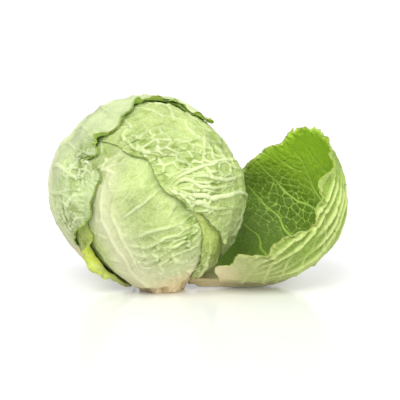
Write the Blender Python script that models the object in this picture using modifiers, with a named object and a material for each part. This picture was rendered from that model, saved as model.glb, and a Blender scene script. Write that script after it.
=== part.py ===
"""A head of green cabbage with its outermost leaf folded open, standing on its cut stump.

Metres, +Z up, the viewer at -Y. The origin is the middle of the flat cut under the stump.
Every leaf is a thin blade laid on a ball. Its outline, its ribs and the raised net between them are drawn on a
flat chart of the blade, which is wrapped on the ball about the blade's own middle and lifted over the leaves
that lie under it. Free margins are waved and rolled outwards.
"""
import math

import bmesh
import bpy
import numpy as np
from mathutils import Vector
from mathutils.geometry import delaunay_2d_cdt

# Driving dimensions of the head
HEAD_CENTRE = np.array([-0.011, 0.005, 0.092])
HEAD_RADIUS = 0.0822
HEART_CLEARANCE = 0.002
HEART_STEP = 0.0015
HEART_WRAPS = 3
HEART_SEGMENTS = 24
HEART_RINGS = 13

# Driving dimensions of the stump
STUMP_CUT_RADIUS = 0.0245
STUMP_RADIUS = 0.0268
STUMP_HEIGHT = 0.0135
STUMP_SIDES = 32
STUMP_SCARS = 7
STUMP_SCAR_DEPTH = 0.0008
STUMP_LEAF_ANGLE = math.radians(20.5)
FIT_GAP = 0.0004

# Driving dimensions of the leaf blades
BLADE = 0.0013
RIB_RELIEF = 0.0023
RIB_WIDTH = 0.0022
RIB_FOOT = 0.0034
RIB_CLEAR = 0.0065
FOOT_SHARE = 0.42
FOOT_GAP = 0.0027
RIB_PAIR_STEP = 0.045
NET_SHARE = 0.75
PRESSED = 0.4
LEAF_STEP = 0.0043
COVER_REACH = 0.008
COVER_RAMP = 0.014
ROLL_RADIUS = 0.0060
RUFFLE_ZONE = 0.026
MARGIN_STEP = 0.0070
RIB_STEP = 0.0098
OUTLINE_BLUR = math.radians(1.3)

# Driving dimensions of the open leaf, which keeps the form of the ball that it once wrapped
OPEN_CENTRE = np.array([0.096, 0.016, 0.0840])
OPEN_RADIUS = 0.0800
OPEN_STALK_END = np.array([0.0285, 0.0, 0.0088])
OPEN_STALK_FALL = math.radians(13.0)
OPEN_STALK_THICKNESS = 0.0065
OPEN_STALK_SPREAD = math.radians(16.0)
GROUND_GAP = 0.0003

# Swellings of the head, each an azimuth and elevation in degrees, a reach in degrees and a height
HEAD_SWELLINGS = [
    (-90, 35, 40, 0.0030),
    (0, 85, 35, 0.0030),
    (70, 35, 30, -0.0035),
    (80, -25, 28, -0.0020),
    (-60, -35, 30, -0.0065),
    (0, -70, 30, 0.0020),
]

COLOURS = {
    "stump": (0.66, 0.58, 0.36),
    "heart": (0.70, 0.76, 0.42),
    "front_leaf": (0.66, 0.74, 0.40),
    "back_leaf": (0.50, 0.66, 0.26),
    "low_right_leaf": (0.52, 0.66, 0.26),
    "right_leaf": (0.55, 0.70, 0.30),
    "low_left_leaf": (0.45, 0.58, 0.08),
    "left_leaf": (0.50, 0.68, 0.28),
    "open_leaf": (0.24, 0.42, 0.05),
}
ROUGHNESS = 0.45
SHARP_ANGLE = math.radians(32.0)


def unit(vector):
    """The vector, or each row of an array, at length 1."""
    return vector / np.linalg.norm(vector, axis=-1, keepdims=True)


def heading(azimuth, elevation):
    """Unit vector to an azimuth (0 to the viewer, 90 to the right) and an elevation, both in degrees."""
    azimuth, elevation = np.radians(azimuth), np.radians(elevation)
    return np.stack(
        [np.sin(azimuth) * np.cos(elevation), -np.cos(azimuth) * np.cos(elevation), np.sin(elevation)],
        axis=-1,
    )


def smooth_step(low, high, value):
    """0 below low, 1 above high, and an S-shaped rise between them."""
    share = np.clip((value - low) / (high - low), 0.0, 1.0)
    return share * share * (3.0 - 2.0 * share)


def along_line(points, step):
    """Points at about an even step along a polyline, with both its ends."""
    points = np.asarray(points, float)
    length = np.concatenate([[0.0], np.cumsum(np.linalg.norm(np.diff(points, axis=0), axis=1))])
    count = max(2, int(round(length[-1] / step)) + 1)
    at = np.linspace(0.0, length[-1], count)
    return np.stack([np.interp(at, length, points[:, k]) for k in range(points.shape[1])], axis=-1)


def rounded(points, closed=False, cuts=8):
    """A polyline through the points with its corners rounded (Catmull-Rom)."""
    points = np.asarray(points, float)
    count = len(points)
    spans = count if closed else count - 1
    t = np.linspace(0.0, 1.0, cuts, endpoint=False)[:, None]
    out = []
    for k in range(spans):
        if closed:
            a, b, c, d = (points[(k + n) % count] for n in (-1, 0, 1, 2))
        else:
            a, b, c, d = (points[min(max(k + n, 0), count - 1)] for n in (-1, 0, 1, 2))
        out.append(
            0.5 * (2 * b + (c - a) * t + (2 * a - 5 * b + 4 * c - d) * t**2 + (3 * b - a - 3 * c + d) * t**3)
        )
    if not closed:
        out.append(points[-1:])
    return np.concatenate(out)


def thinned(points, fixed, gap):
    """The points that keep a gap to the fixed ones and to each other, in their order."""
    kept = np.asarray(fixed)
    for point in points:
        if np.hypot(*(kept - point).T).min() > gap:
            kept = np.vstack([kept, point])
    return kept[len(fixed) :]


def segment_distance(at, starts, ends):
    """Distance from each point to the nearest segment, and the index of that segment."""
    run = ends - starts
    share = np.einsum("nmk,mk->nm", at[:, None] - starts, run) / np.maximum((run * run).sum(-1), 1e-12)
    gap = at[:, None] - starts - np.clip(share, 0, 1)[..., None] * run
    distance = np.linalg.norm(gap, axis=-1)
    nearest = distance.argmin(axis=1)
    return distance[np.arange(len(at)), nearest], nearest


def triangulate(points, edges, loop):
    """Delaunay triangles inside the loop, the first points of the list, keeping the given edges."""
    ring = [(k, (k + 1) % loop) for k in range(loop)]
    edges = ring + [(int(a), int(b)) for a, b in edges]
    found = delaunay_2d_cdt([Vector(p) for p in points.tolist()], edges, [], 1, 1e-6)
    return np.array([p[:] for p in found[0]]), [tuple(face) for face in found[2]]


def head_radius(way):
    """Radius of the bare head in each direction: a ball with a few low swellings."""
    radius = np.full(way.shape[:-1], HEAD_RADIUS)
    for azimuth, elevation, reach, height in HEAD_SWELLINGS:
        angle = np.degrees(np.arccos(np.clip(way @ heading(azimuth, elevation), -1, 1)))
        radius = radius + height * np.exp(-((angle / reach) ** 2))
    return radius


class Leaf:
    """One leaf blade on its ball.

    middle is the azimuth and elevation of the blade's middle. margin holds the points of its outline, each an
    azimuth, an elevation and the angle through which the margin is rolled outwards there, all in degrees.
    ribs are lines of azimuths and elevations with a size from 0 to 1, and cell is the width of the net's cells.
    """

    def __init__(self, name, middle, margin, cell, ribs=None, ruffle=0.0, waves=9, seed=0, base=None):
        self.name = name
        self.cell = cell
        self.ruffle = ruffle
        self.waves = waves
        self.on_head = base is None
        self.centre = HEAD_CENTRE if self.on_head else OPEN_CENTRE
        self.ball = HEAD_RADIUS if self.on_head else OPEN_RADIUS
        self.base = unit(-HEAD_CENTRE if self.on_head else base - OPEN_CENTRE)
        self.out = heading(*middle)
        self.tip = unit(self.out * (self.base @ self.out) - self.base)
        self.side = np.cross(self.out, self.tip)
        self.set_outline(np.array(margin, float))
        lines = self.fan_of_ribs() if ribs is None else [(size, self.chart_line(line)) for size, line in ribs]
        self.ribs = [(size, self.trimmed(rounded(line, cuts=4))) for size, line in lines]
        self.ribs = [(size, line) for size, line in self.ribs if len(line) > 2]
        self.set_net(np.random.default_rng(seed))

    def polar(self, way):
        """Arc from the blade's middle to a direction, and the turn there: 0 to the tip, pi to the stalk."""
        return (
            np.arccos(np.clip(way @ self.out, -1, 1)),
            np.arctan2(way @ self.side, way @ self.tip),
        )

    def way(self, arc, turn):
        """The direction at an arc and turn from the blade's middle."""
        around = np.cos(turn)[..., None] * self.tip + np.sin(turn)[..., None] * self.side
        return np.cos(arc)[..., None] * self.out + np.sin(arc)[..., None] * around

    def chart_line(self, line):
        """Places on the blade's flat chart of points given by azimuth and elevation."""
        line = np.array(line, float)
        arc, turn = self.polar(heading(line[:, 0], line[:, 1]))
        return self.ball * np.stack([arc * np.cos(turn), arc * np.sin(turn)], axis=-1)

    def set_outline(self, margin):
        """The arc to the margin, and the margin's roll, at each degree of turn."""
        flat = rounded(np.column_stack([self.chart_line(margin[:, :2]), margin[:, 2]]), closed=True)
        flat = along_line(np.vstack([flat, flat[:1]]), 0.0006)
        arcs = np.hypot(flat[:, 0], flat[:, 1]) / self.ball
        bins = np.degrees(np.arctan2(flat[:, 1], flat[:, 0])).round().astype(int) % 360
        reach, roll = np.full(360, np.nan), np.full(360, np.nan)
        for k in np.unique(bins):
            reach[k], roll[k] = arcs[bins == k].max(), flat[bins == k, 2].mean()
        known = np.flatnonzero(~np.isnan(reach))
        degrees = np.arange(360)
        reach = np.interp(degrees, known, reach[known], period=360)
        roll = np.interp(degrees, known, roll[known], period=360)
        away = np.minimum(degrees, 360 - degrees)
        blur = np.exp(-0.5 * (np.radians(away) / OUTLINE_BLUR) ** 2)
        blur = np.fft.rfft(blur / blur.sum())
        self.reach = np.fft.irfft(np.fft.rfft(reach) * blur, 360)
        self.rolled = np.radians(np.maximum(np.fft.irfft(np.fft.rfft(roll) * blur, 360), 0.0))

    def margin_roll(self, turn):
        """Angle through which the margin is rolled outwards."""
        return np.interp(np.degrees(turn) % 360, np.arange(361), np.append(self.rolled, self.rolled[0]))

    def margin_arc(self, turn):
        """Arc from the middle to the margin. A leaf on the head stops where the stump begins."""
        arc = np.interp(np.degrees(turn) % 360, np.arange(361), np.append(self.reach, self.reach[0]))
        if not self.on_head:
            return arc
        along = self.base @ self.out
        across = -math.sqrt(1 - along**2) * np.cos(turn)
        nearest = np.hypot(along, across)
        meets = nearest > math.cos(STUMP_LEAF_ANGLE)
        half = np.arccos(np.where(meets, math.cos(STUMP_LEAF_ANGLE) / np.maximum(nearest, 1e-9), 1.0))
        stop = np.arctan2(across, along) - half
        return np.where(meets & (stop > 0), np.minimum(arc, stop), arc)

    def inside_margin(self, flat):
        """Distance from points of the chart out to the margin, along the line from the blade's middle."""
        turn = np.arctan2(flat[..., 1], flat[..., 0])
        return self.ball * self.margin_arc(turn) - np.hypot(flat[..., 0], flat[..., 1])

    def margin_band(self, flat):
        """Width of the rolled or waved band along the margin, level with points of the chart."""
        turn = np.arctan2(flat[..., 1], flat[..., 0])
        return np.maximum(0.006, ROLL_RADIUS * self.margin_roll(turn)) + 0.0035

    def trimmed(self, line):
        """The points of a rib at an even step, as far as it lies inside the margin."""
        line = along_line(line, RIB_STEP)
        return line[self.inside_margin(line) > self.margin_band(line)]

    def cover(self, way):
        """1 over the blade and a little beyond its margin, falling smoothly to 0 further out."""
        arc, turn = self.polar(way)
        beyond = (arc - self.margin_arc(turn)) * self.ball
        return 1.0 - smooth_step(COVER_REACH, COVER_REACH + COVER_RAMP, beyond)

    def fan_of_ribs(self):
        """A midrib from the stalk to the tip with side ribs that leave it to both sides and bend to the tip."""
        low = -self.ball * self.margin_arc(np.array([math.pi]))[0]
        high = self.ball * self.margin_arc(np.array([0.0]))[0]
        lines = [(1.0, np.array([[low + 0.004, 0.0], [0.8 * high, 0.0]]))]
        pairs = max(3, int(round((high - low) / RIB_PAIR_STEP)))
        for k, start in enumerate(np.linspace(0.75 * low, 0.45 * high, pairs)):
            for side in (-1, 1):
                reach = 0.9 * self.ball * self.margin_arc(np.array([side * math.pi / 2]))[0]
                lean = np.radians(70.0 - 30.0 * np.linspace(0.0, 1.0, 7) - 4.0 * k)
                steps = np.stack([np.cos(lean), side * np.sin(lean)], axis=-1) * reach / 5
                foot = np.array([start + 0.25 * side * self.cell, 0.0])
                lines.append((0.75, foot + np.vstack([[0.0, 0.0], np.cumsum(steps, axis=0)])))
        return lines

    def set_net(self, random):
        """The raised net: cells of about one width, whose borders are ridges that run into the ribs."""
        loop = self.margin_loop(MARGIN_STEP)
        ribs = np.vstack([line for _, line in self.ribs])
        starts = np.vstack([line[:-1] for _, line in self.ribs])
        ends = np.vstack([line[1:] for _, line in self.ribs])
        span = int(1.2 * self.ball * self.reach.max() / self.cell)
        i, j = np.meshgrid(np.arange(-span, span + 1), np.arange(-span, span + 1))
        spots = np.stack([i + 0.5 * (j % 2), 0.866 * j], axis=-1).reshape(-1, 2) * self.cell
        spots = spots + random.uniform(-0.24, 0.24, spots.shape) * self.cell
        spots = spots[self.inside_margin(spots) > self.margin_band(spots) + 0.003]
        spots = spots[segment_distance(spots, starts, ends)[0] > RIB_CLEAR]
        first_spot = len(loop) + len(ribs)
        points, faces = triangulate(np.vstack([loop, ribs, spots]), self.rib_edges(len(loop)), len(loop))
        inside = [[k for k in face if k >= first_spot] for face in faces]
        middles = np.array([points[list(face)].mean(axis=0) for face in faces])
        shared = {}
        for number, face in enumerate(faces):
            for a, b in zip(face, face[1:] + face[:1]):
                shared.setdefault((min(a, b), max(a, b)), []).append(number)
        knots, borders = {}, []
        for (a, b), pair in shared.items():
            if a >= first_spot and b >= first_spot and len(pair) == 2:
                borders.append(tuple(pair))
        for number, face in enumerate(faces):
            others = [k for k in face if k < first_spot and k >= len(loop)]
            if len(inside[number]) == 2 and others:
                borders.append((number, -others[0]))
        places = []
        edges = []
        for a, b in borders:
            ends_of = []
            for key in (a, b):
                if key not in knots:
                    knots[key] = len(places)
                    places.append(middles[key] if key >= 0 else points[-key])
                ends_of.append(knots[key])
            edges.append(tuple(ends_of))
        self.knots = np.array(places)
        self.net = np.array(edges, int)
        feet = [
            middles[number] + FOOT_SHARE * (points[k] - middles[number])
            for number in knots
            if number >= 0
            for k in inside[number]
        ]
        for _, line in self.ribs:
            run = unit(np.gradient(line, axis=0))
            across = np.stack([-run[:, 1], run[:, 0]], axis=-1) * RIB_FOOT
            feet += list(line + across) + list(line - across)
        self.feet = np.array(feet)

    def rib_edges(self, first):
        """Pairs of neighbouring rib points, counted from the given index."""
        edges = []
        for _, line in self.ribs:
            edges += [(first + k, first + k + 1) for k in range(len(line) - 1)]
            first += len(line)
        return edges

    def margin_loop(self, step):
        """Points of the chart at an even step along the margin."""
        turn = np.linspace(-math.pi, math.pi, 721)
        arc = self.ball * self.margin_arc(turn)
        return along_line(np.stack([arc * np.cos(turn), arc * np.sin(turn)], axis=-1), step)[:-1]

    def chart_mesh(self):
        """Points and triangles of the flat blade, with edges along its margin, ribs and net."""
        loop = self.margin_loop(MARGIN_STEP)
        turn = np.arctan2(loop[:, 1], loop[:, 0])
        band = np.maximum(0.006, ROLL_RADIUS * self.margin_roll(turn))
        rings = []
        for row in range(1, 6):
            rows = np.maximum(1, (band / 0.0042).astype(int))
            inset = band * row / rows
            ring = loop * (1.0 - inset / np.linalg.norm(loop, axis=1))[:, None]
            keep = (row <= rows) & ((np.arange(len(loop)) + row) % 2 == 0) | ((rows > 1) & (row <= rows))
            rings.append(ring[keep])
        ribs = np.vstack([line for _, line in self.ribs])
        points = np.vstack([loop, ribs, self.knots])
        edges = self.rib_edges(len(loop)) + (self.net + len(loop) + len(ribs)).tolist()
        feet = self.feet[self.inside_margin(self.feet) > self.margin_band(self.feet)]
        return triangulate(np.vstack([points, thinned(feet, points, FOOT_GAP)] + rings), edges, len(loop))

    def relief(self, flat):
        """Height of the ribs and of the net between them, from 0 to 1, at points of the chart."""
        height = np.zeros(len(flat))
        for size, line in self.ribs:
            distance, _ = segment_distance(flat, line[:-1], line[1:])
            taper = 1.0 - 0.5 * smooth_step(0.0, 1.0, (flat[:, 0] / self.ball / self.reach[0] + 0.2))
            height = np.maximum(height, size * taper * np.exp(-((distance / RIB_WIDTH) ** 2)))
        starts, ends = self.knots[self.net[:, 0]], self.knots[self.net[:, 1]]
        distance, _ = segment_distance(flat, starts, ends)
        height = np.maximum(height, NET_SHARE * np.exp(-((distance / RIB_WIDTH) ** 2)))
        return height * smooth_step(0.0, 0.008, self.inside_margin(flat))

    def surface(self, flat, under, over):
        """Points of the blade's inner face, for points of the flat chart.

        under are the leaves laid before this one, which lift it, and over those laid after it, which keep
        its margin from rolling out where they cover it.
        """
        turn = np.arctan2(flat[:, 1], flat[:, 0])
        edge = self.margin_arc(turn)
        arc = np.minimum(np.hypot(flat[:, 0], flat[:, 1]) / self.ball, edge)
        roll = self.margin_roll(turn)
        at_edge = self.way(edge, turn)
        for leaf in over:
            roll = roll * (1.0 - leaf.cover(at_edge))
        inward = (edge - arc) * self.ball
        zone = ROLL_RADIUS * roll
        bend = np.where(inward < zone, (zone - inward) / ROLL_RADIUS, 0.0)
        arc = np.where(bend > 0, edge - (zone - ROLL_RADIUS * np.sin(bend)) / self.ball, arc)
        lift = ROLL_RADIUS * (1.0 - np.cos(bend))
        free = smooth_step(0.0, 0.6, roll)
        wave = 0.5 + 0.5 * np.sin(self.waves * turn + self.out[0] * 9.0)
        lift = lift + self.ruffle * wave * free * (1.0 - smooth_step(0.0, RUFFLE_ZONE, inward))
        way = self.way(arc, turn)
        relief = self.relief(flat)
        for leaf in over:
            relief = relief * (1.0 - (1.0 - PRESSED) * leaf.cover(way))
        lift = lift + RIB_RELIEF * relief
        for leaf in under:
            lift = lift + LEAF_STEP * leaf.cover(way)
        if self.on_head:
            return self.centre + way * (head_radius(way) + lift)[:, None]
        base_arc = self.margin_arc(np.array([math.pi]))[0]
        stretch = np.linalg.norm(OPEN_STALK_END - OPEN_CENTRE) - OPEN_RADIUS
        along = -arc * np.cos(turn)
        radius = OPEN_RADIUS + stretch * np.exp((along - base_arc) / OPEN_STALK_FALL)
        return self.centre + way * (radius + lift)[:, None]


# The leaves of the head, from the innermost to the outermost
HEAD_LEAVES = [
    Leaf(
        "front_leaf",
        (-29, 5),
        [(0, -75, 0), (-80, -64, 0), (-102, -38, 0), (-108, 0, 0), (-100, 38, 0), (-60, 68, 0),
         (20, 78, 0), (50, 52, 0), (56, 22, 0), (60, -10, 0), (68, -38, 0), (72, -62, 0)],
        cell=0.0205,
        seed=3,
        ribs=[
            (1.0, [(0, -66), (-15, -55), (-19, -36), (-24, -24), (-27, -13), (-30, -4), (-30, 5), (-27, 14),
                   (-24, 25), (-18, 45)]),
            (0.8, [(-6, -52), (-12, -34), (-17, -24), (-20, -12), (-22, -4), (-20, 5), (-15, 15), (-6, 30)]),
            (0.8, [(-15, -10), (-3, -2), (4, 3), (12, 11), (24, 24)]),
            (1.0, [(-7, -22), (6, -15), (18, -10), (29, -5), (42, 4)]),
            (0.7, [(-12, -23), (-3, -24), (2, -22), (10, -16), (22, -13), (31, -15), (42, -16)]),
            (0.6, [(-11, -28), (-6, -32), (6, -28), (17, -27), (25, -26), (38, -28)]),
            (0.5, [(-9, -38), (-2, -38), (8, -35), (18, -33), (26, -37)]),
            (0.5, [(13, -8), (20, 4), (28, 14)]),
            (0.5, [(-17, -5), (-9, 3), (-3, 11), (3, 18), (10, 30)]),
            (0.5, [(-30, -6), (-45, 6), (-60, 14), (-80, 20)]),
            (0.5, [(-27, -24), (-45, -16), (-65, -8), (-85, -2)]),
            (0.5, [(-29, 16), (-42, 28), (-60, 38), (-76, 42)]),
        ],
    ),
    Leaf(
        "back_leaf",
        (-172, 5),
        [(-175, -75, 0), (-125, -62, 0), (-108, -38, 0), (-104, 0, 0), (-108, 40, 0), (-130, 68, 0),
         (150, 74, 0), (90, 58, 0), (80, 25, 0), (80, -12, 0), (92, -42, 0), (125, -62, 0)],
        cell=0.030,
        seed=4,
    ),
    Leaf(
        "low_right_leaf",
        (66, -28),
        [(25, 2, 10), (31, -6, 10), (37, -15, 15), (41, -26, 15), (45, -36, 10), (53, -48, 0),
         (66, -62, 0), (95, -76, 0), (112, -58, 0), (114, -28, 0), (102, 2, 0), (70, 14, 0), (44, 12, 0)],
        cell=0.0205,
        seed=5,
        ribs=[
            (0.7, [(76, -62), (61, -46), (51, -31), (43, -18), (37, -8)]),
            (0.7, [(88, -60), (80, -46), (66, -30), (56, -18), (50, -6)]),
            (0.6, [(95, -50), (90, -30), (78, -12), (70, 2)]),
        ],
    ),
    Leaf(
        "right_leaf",
        (78, 22),
        [(-44, 41, 0), (-34, 40, 5), (-24, 38, 10), (-13, 32, 15), (-1, 29, 20), (4, 22, 30), (8, 15, 35),
         (12, 9, 25), (19, 5, 20), (25, -1, 15), (32, -5, 15), (40, -10, 15), (49, -17, 20), (56, -25, 25),
         (76, -38, 20), (100, -52, 5), (125, -70, 0), (150, -50, 10), (158, -20, 40), (160, 15, 50),
         (165, 45, 30), (-170, 66, 0), (-80, 66, 0), (-56, 52, 0)],
        cell=0.0195,
        seed=6,
        ruffle=0.0012,
        waves=15,
        ribs=[
            (0.9, [(12, 11), (21, 6), (29, -3), (36, -13)]),
            (0.9, [(15, 11), (27, 7), (39, 5), (54, 4), (64, 4), (84, 0), (104, -12), (122, -30), (134, -50)]),
            (0.8, [(15, 12), (23, 15), (30, 13), (39, 9), (49, 9), (63, 9)]),
            (0.7, [(23, 17), (34, 17), (47, 13), (63, 13), (82, 12), (100, 4)]),
            (0.9, [(15, 14), (24, 19), (34, 22), (49, 24), (68, 23), (92, 20), (116, 6)]),
            (0.7, [(24, 28), (28, 24), (35, 22)]),
            (0.7, [(52, 42), (44, 33), (36, 24)]),
            (0.6, [(18, 32), (23, 38), (36, 39), (52, 42), (70, 38), (96, 38), (124, 26)]),
            (0.6, [(-15, 50), (-4, 54), (11, 58), (30, 58), (43, 55), (70, 56), (110, 52)]),
            (0.7, [(-21, 36), (-8, 42), (3, 47), (18, 52)]),
            (0.9, [(-17, 34), (-6, 29), (3, 27), (10, 25), (20, 28)]),
            (0.6, [(21, 5), (31, 1), (45, -3), (60, -4), (76, -8)]),
            (0.6, [(29, -4), (37, -8), (49, -15)]),
        ],
    ),
    Leaf(
        "low_left_leaf",
        (-92, -24),
        [(-46, -4, 120), (-43, -18, 150), (-41, -30, 150), (-42, -44, 140), (-48, -57, 90), (-58, -70, 0),
         (-100, -80, 0), (-140, -64, 0), (-160, -38, 60), (-156, -8, 60), (-130, 16, 0), (-90, 22, 0),
         (-60, 10, 0)],
        cell=0.0215,
        seed=7,
        ruffle=0.002,
        waves=17,
    ),
    Leaf(
        "left_leaf",
        (-85, 28),
        [(88, 48, 10), (76, 58, 15), (64, 67, 25), (46, 75, 35), (0, 75, 40), (-18, 65, 50), (-20, 56, 50),
         (-23, 49, 30), (-30, 43, 40), (-38, 37, 60), (-32, 31, 40), (-43, 26, 30), (-35, 22, 30),
         (-27, 16, 40), (-31, 9, 50), (-34, 0, 40), (-36, -7, 30), (-44, -15, 25), (-62, -26, 30),
         (-84, -40, 10), (-112, -58, 0), (-128, -70, 0), (-142, -42, 30), (-148, -12, 50), (-150, 20, 60),
         (-165, 46, 50), (150, 60, 40), (112, 52, 20)],
        cell=0.0205,
        seed=8,
        ruffle=0.0015,
        waves=17,
        ribs=[
            (1.0, [(-118, -60), (-108, -40), (-100, -15), (-96, 10), (-96, 35), (-110, 60), (-160, 74), (130, 76)]),
            (0.8, [(-104, -20), (-88, -14), (-70, -10), (-52, -8)]),
            (0.8, [(-99, -2), (-84, 2), (-68, 4), (-54, 6), (-44, 8), (-34, 9)]),
            (0.8, [(-97, 12), (-80, 18), (-64, 18), (-52, 16), (-40, 17), (-31, 17)]),
            (0.7, [(-95, 26), (-80, 32), (-66, 32), (-54, 28), (-46, 27)]),
            (0.7, [(-98, 40), (-84, 46), (-66, 46), (-50, 42), (-38, 40)]),
            (0.6, [(-108, 54), (-92, 60), (-66, 60), (-40, 56), (-26, 54)]),
            (0.6, [(-60, 14), (-52, 24), (-42, 30), (-36, 32)]),
            (0.6, [(-54, -3), (-44, 5), (-35, 7)]),
            (0.6, [(-108, -24), (-124, -10), (-138, 0)]),
            (0.6, [(-100, 6), (-118, 18), (-136, 26)]),
            (0.6, [(-98, 34), (-122, 44), (-150, 48)]),
        ],
    ),
]

OPEN_LEAF = Leaf(
    "open_leaf",
    (118, -28),
    [(-77, -47.5, 0), (-71, -48, 0), (-62, -55, 0), (-50, -55, 0), (-41, -46, 0), (-37, -39, 0), (-29, -38, 20),
     (-20, -31, 30), (-12, -32, 10),
     (0, -33, 0), (5, -26, 0), (9, -20, 0), (16, -18, 15), (23, -13, 30), (30, -15, 20), (33, -9, 0), (36, 3, 10),
     (37, 14, 20), (44, 20, 20), (55, 21, 10), (66, 32, 20), (80, 44, 35), (92, 54, 20), (110, 57, 20),
     (128, 56, 10), (146, 47, 0), (155, 38, 0), (169, 31, 10), (179, 24, 10), (-171, 16, 10), (-167, 4, 10),
     (-160, -14, 10), (-148, -29, 0), (-134, -41, 0), (-120, -50, 0), (-104, -56, 0), (-90, -58, 0),
     (-83, -55, 0), (-82, -48.5, 0)],
    cell=0.0205,
    seed=9,
    ruffle=0.003,
    waves=17,
    base=OPEN_STALK_END,
    ribs=[
        (1.0, [(-77, -53), (-66, -70), (60, -82), (105, -62), (114, -44), (118, -28), (118, -10), (114, 10),
               (108, 30), (100, 46)]),
        (0.8, [(122, -26), (132, -14), (150, -8), (161, -1), (170, 9), (-178, 20)]),
        (0.8, [(122, -12), (134, -1), (140, 11), (144, 23), (150, 32)]),
        (0.6, [(143, 12), (150, 14), (162, 22), (168, 30)]),
        (0.8, [(114, -50), (134, -44), (153, -33), (161, -23), (170, -16), (178, -8), (-174, 0)]),
        (0.8, [(120, -74), (160, -62), (174, -51), (-179, -36), (-173, -31), (-165, -27)]),
        (0.7, [(116, 10), (128, 22), (133, 32), (138, 44)]),
        (0.7, [(-50, -72), (-24, -58), (-10, -48), (-4, -38)]),
        (0.8, [(20, -80), (2, -64), (6, -43), (11, -28)]),
        (0.8, [(80, -76), (26, -68), (20, -52), (20, -38), (25, -22)]),
        (0.8, [(100, -64), (58, -62), (38, -49), (37, -34), (40, -17)]),
        (0.8, [(110, -52), (76, -50), (54, -36), (44, -12), (42, 5)]),
        (0.8, [(114, -40), (90, -38), (66, -28), (57, -9), (54, 10)]),
        (0.8, [(114, -24), (96, -20), (80, -9), (72, 8), (70, 22)]),
        (0.7, [(114, -4), (100, 4), (88, 20), (84, 34)]),
    ],
)


def material(name):
    """A Principled material in the colour of the named piece."""
    made = bpy.data.materials.new(name)
    made.use_nodes = True
    shader = made.node_tree.nodes["Principled BSDF"]
    shader.inputs["Base Color"].default_value = (*COLOURS[name], 1.0)
    shader.inputs["Roughness"].default_value = ROUGHNESS
    shader.inputs["Metallic"].default_value = 0.0
    return made


def finished(name, mesh, collection):
    """An object of the mesh, smooth shaded, in its own material, in the collection."""
    made = bpy.data.objects.new(name, mesh)
    mesh.materials.append(material(name))
    mesh.shade_smooth()
    mesh.set_sharp_from_angle(angle=SHARP_ANGLE)
    collection.objects.link(made)
    return made


def stalk_share(leaf, flat):
    """1 along the stalk end of the midrib, falling to 0 up the blade and to its sides."""
    along = -flat[:, 0] / leaf.ball / leaf.reach[180]
    across = flat[:, 1] / leaf.ball / OPEN_STALK_SPREAD
    return smooth_step(0.1, 1.0, along) * np.exp(-(across**2))


def make_leaf(leaf, under, over, collection):
    """The blade: its inner face as a mesh, thickened outwards."""
    flat, faces = leaf.chart_mesh()
    points = leaf.surface(flat, under, over)
    thickness = BLADE
    weights = None
    if not leaf.on_head:
        weights = stalk_share(leaf, flat)
        thickness = OPEN_STALK_THICKNESS
        depth = BLADE + (thickness - BLADE) * weights
        lowest = (points - leaf.centre + unit(points - leaf.centre) * depth[:, None])[:, 2].min()
        points = points + np.array([0.0, 0.0, GROUND_GAP - lowest - leaf.centre[2]])
    mesh = bpy.data.meshes.new(leaf.name)
    mesh.from_pydata(points.tolist(), [], faces)
    sheet = bmesh.new()
    sheet.from_mesh(mesh)
    sheet.faces.ensure_lookup_table()
    middle = sheet.faces[len(faces) // 2]
    if middle.normal.dot(middle.calc_center_median() - Vector(leaf.centre)) < 0:
        bmesh.ops.reverse_faces(sheet, faces=sheet.faces)
    sheet.to_mesh(mesh)
    sheet.free()
    made = finished(leaf.name, mesh, collection)
    shell = made.modifiers.new("Blade", "SOLIDIFY")
    shell.thickness = thickness
    shell.offset = 1.0
    if weights is not None:
        group = made.vertex_groups.new(name="stalk")
        for index, weight in enumerate(weights):
            group.add([index], float(weight), "REPLACE")
        shell.vertex_group = group.name
        shell.thickness_vertex_group = BLADE / thickness
    return made


def make_heart(collection):
    """The tight inner leaves, grown as one ball: each wrapped over the next, with a low step at its margin."""
    mesh = bpy.data.meshes.new("heart")
    ball = bmesh.new()
    bmesh.ops.create_uvsphere(ball, u_segments=HEART_SEGMENTS, v_segments=HEART_RINGS, radius=1.0)
    floor = STUMP_HEIGHT + FIT_GAP
    for vertex in ball.verts:
        way = np.array(vertex.co)
        azimuth = math.atan2(way[1], way[0]) / (2.0 * math.pi) * HEART_WRAPS
        wrap = (azimuth + 0.35 * way[2]) % 1.0
        step = HEART_STEP * float(smooth_step(0.0, 0.85, wrap) * (1.0 - smooth_step(0.9, 1.0, wrap)))
        step *= math.sqrt(max(0.0, 1.0 - way[2] ** 2))
        radius = float(head_radius(way)) - HEART_CLEARANCE - HEART_STEP + step
        point = HEAD_CENTRE + way * radius
        point[2] = max(point[2], floor)
        vertex.co = point
    bmesh.ops.dissolve_degenerate(ball, dist=1e-5, edges=ball.edges)
    bmesh.ops.recalc_face_normals(ball, faces=ball.faces)
    ball.to_mesh(mesh)
    ball.free()
    return finished("heart", mesh, collection)


def make_stump(collection):
    """The cut stem: a short block with shallow leaf scars round it and a flat cut below."""
    mesh = bpy.data.meshes.new("stump")
    block = bmesh.new()
    bmesh.ops.create_cone(
        block, cap_ends=True, segments=STUMP_SIDES, radius1=1.0, radius2=1.0, depth=1.0
    )
    bmesh.ops.subdivide_edges(
        block, edges=[e for e in block.edges if abs(e.verts[0].co.z - e.verts[1].co.z) > 0.5], cuts=3
    )
    for vertex in block.verts:
        share = vertex.co.z + 0.5
        angle = math.atan2(vertex.co.y, vertex.co.x)
        waist = STUMP_CUT_RADIUS + (STUMP_RADIUS - STUMP_CUT_RADIUS) * math.sin(math.pi * min(1.0, share * 1.1))
        radius = waist + STUMP_SCAR_DEPTH * (math.cos(STUMP_SCARS * angle + 2.0 * share) - 1.0)
        vertex.co = (radius * math.cos(angle), radius * math.sin(angle), share * STUMP_HEIGHT)
    block.to_mesh(mesh)
    block.free()
    return finished("stump", mesh, collection)


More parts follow.
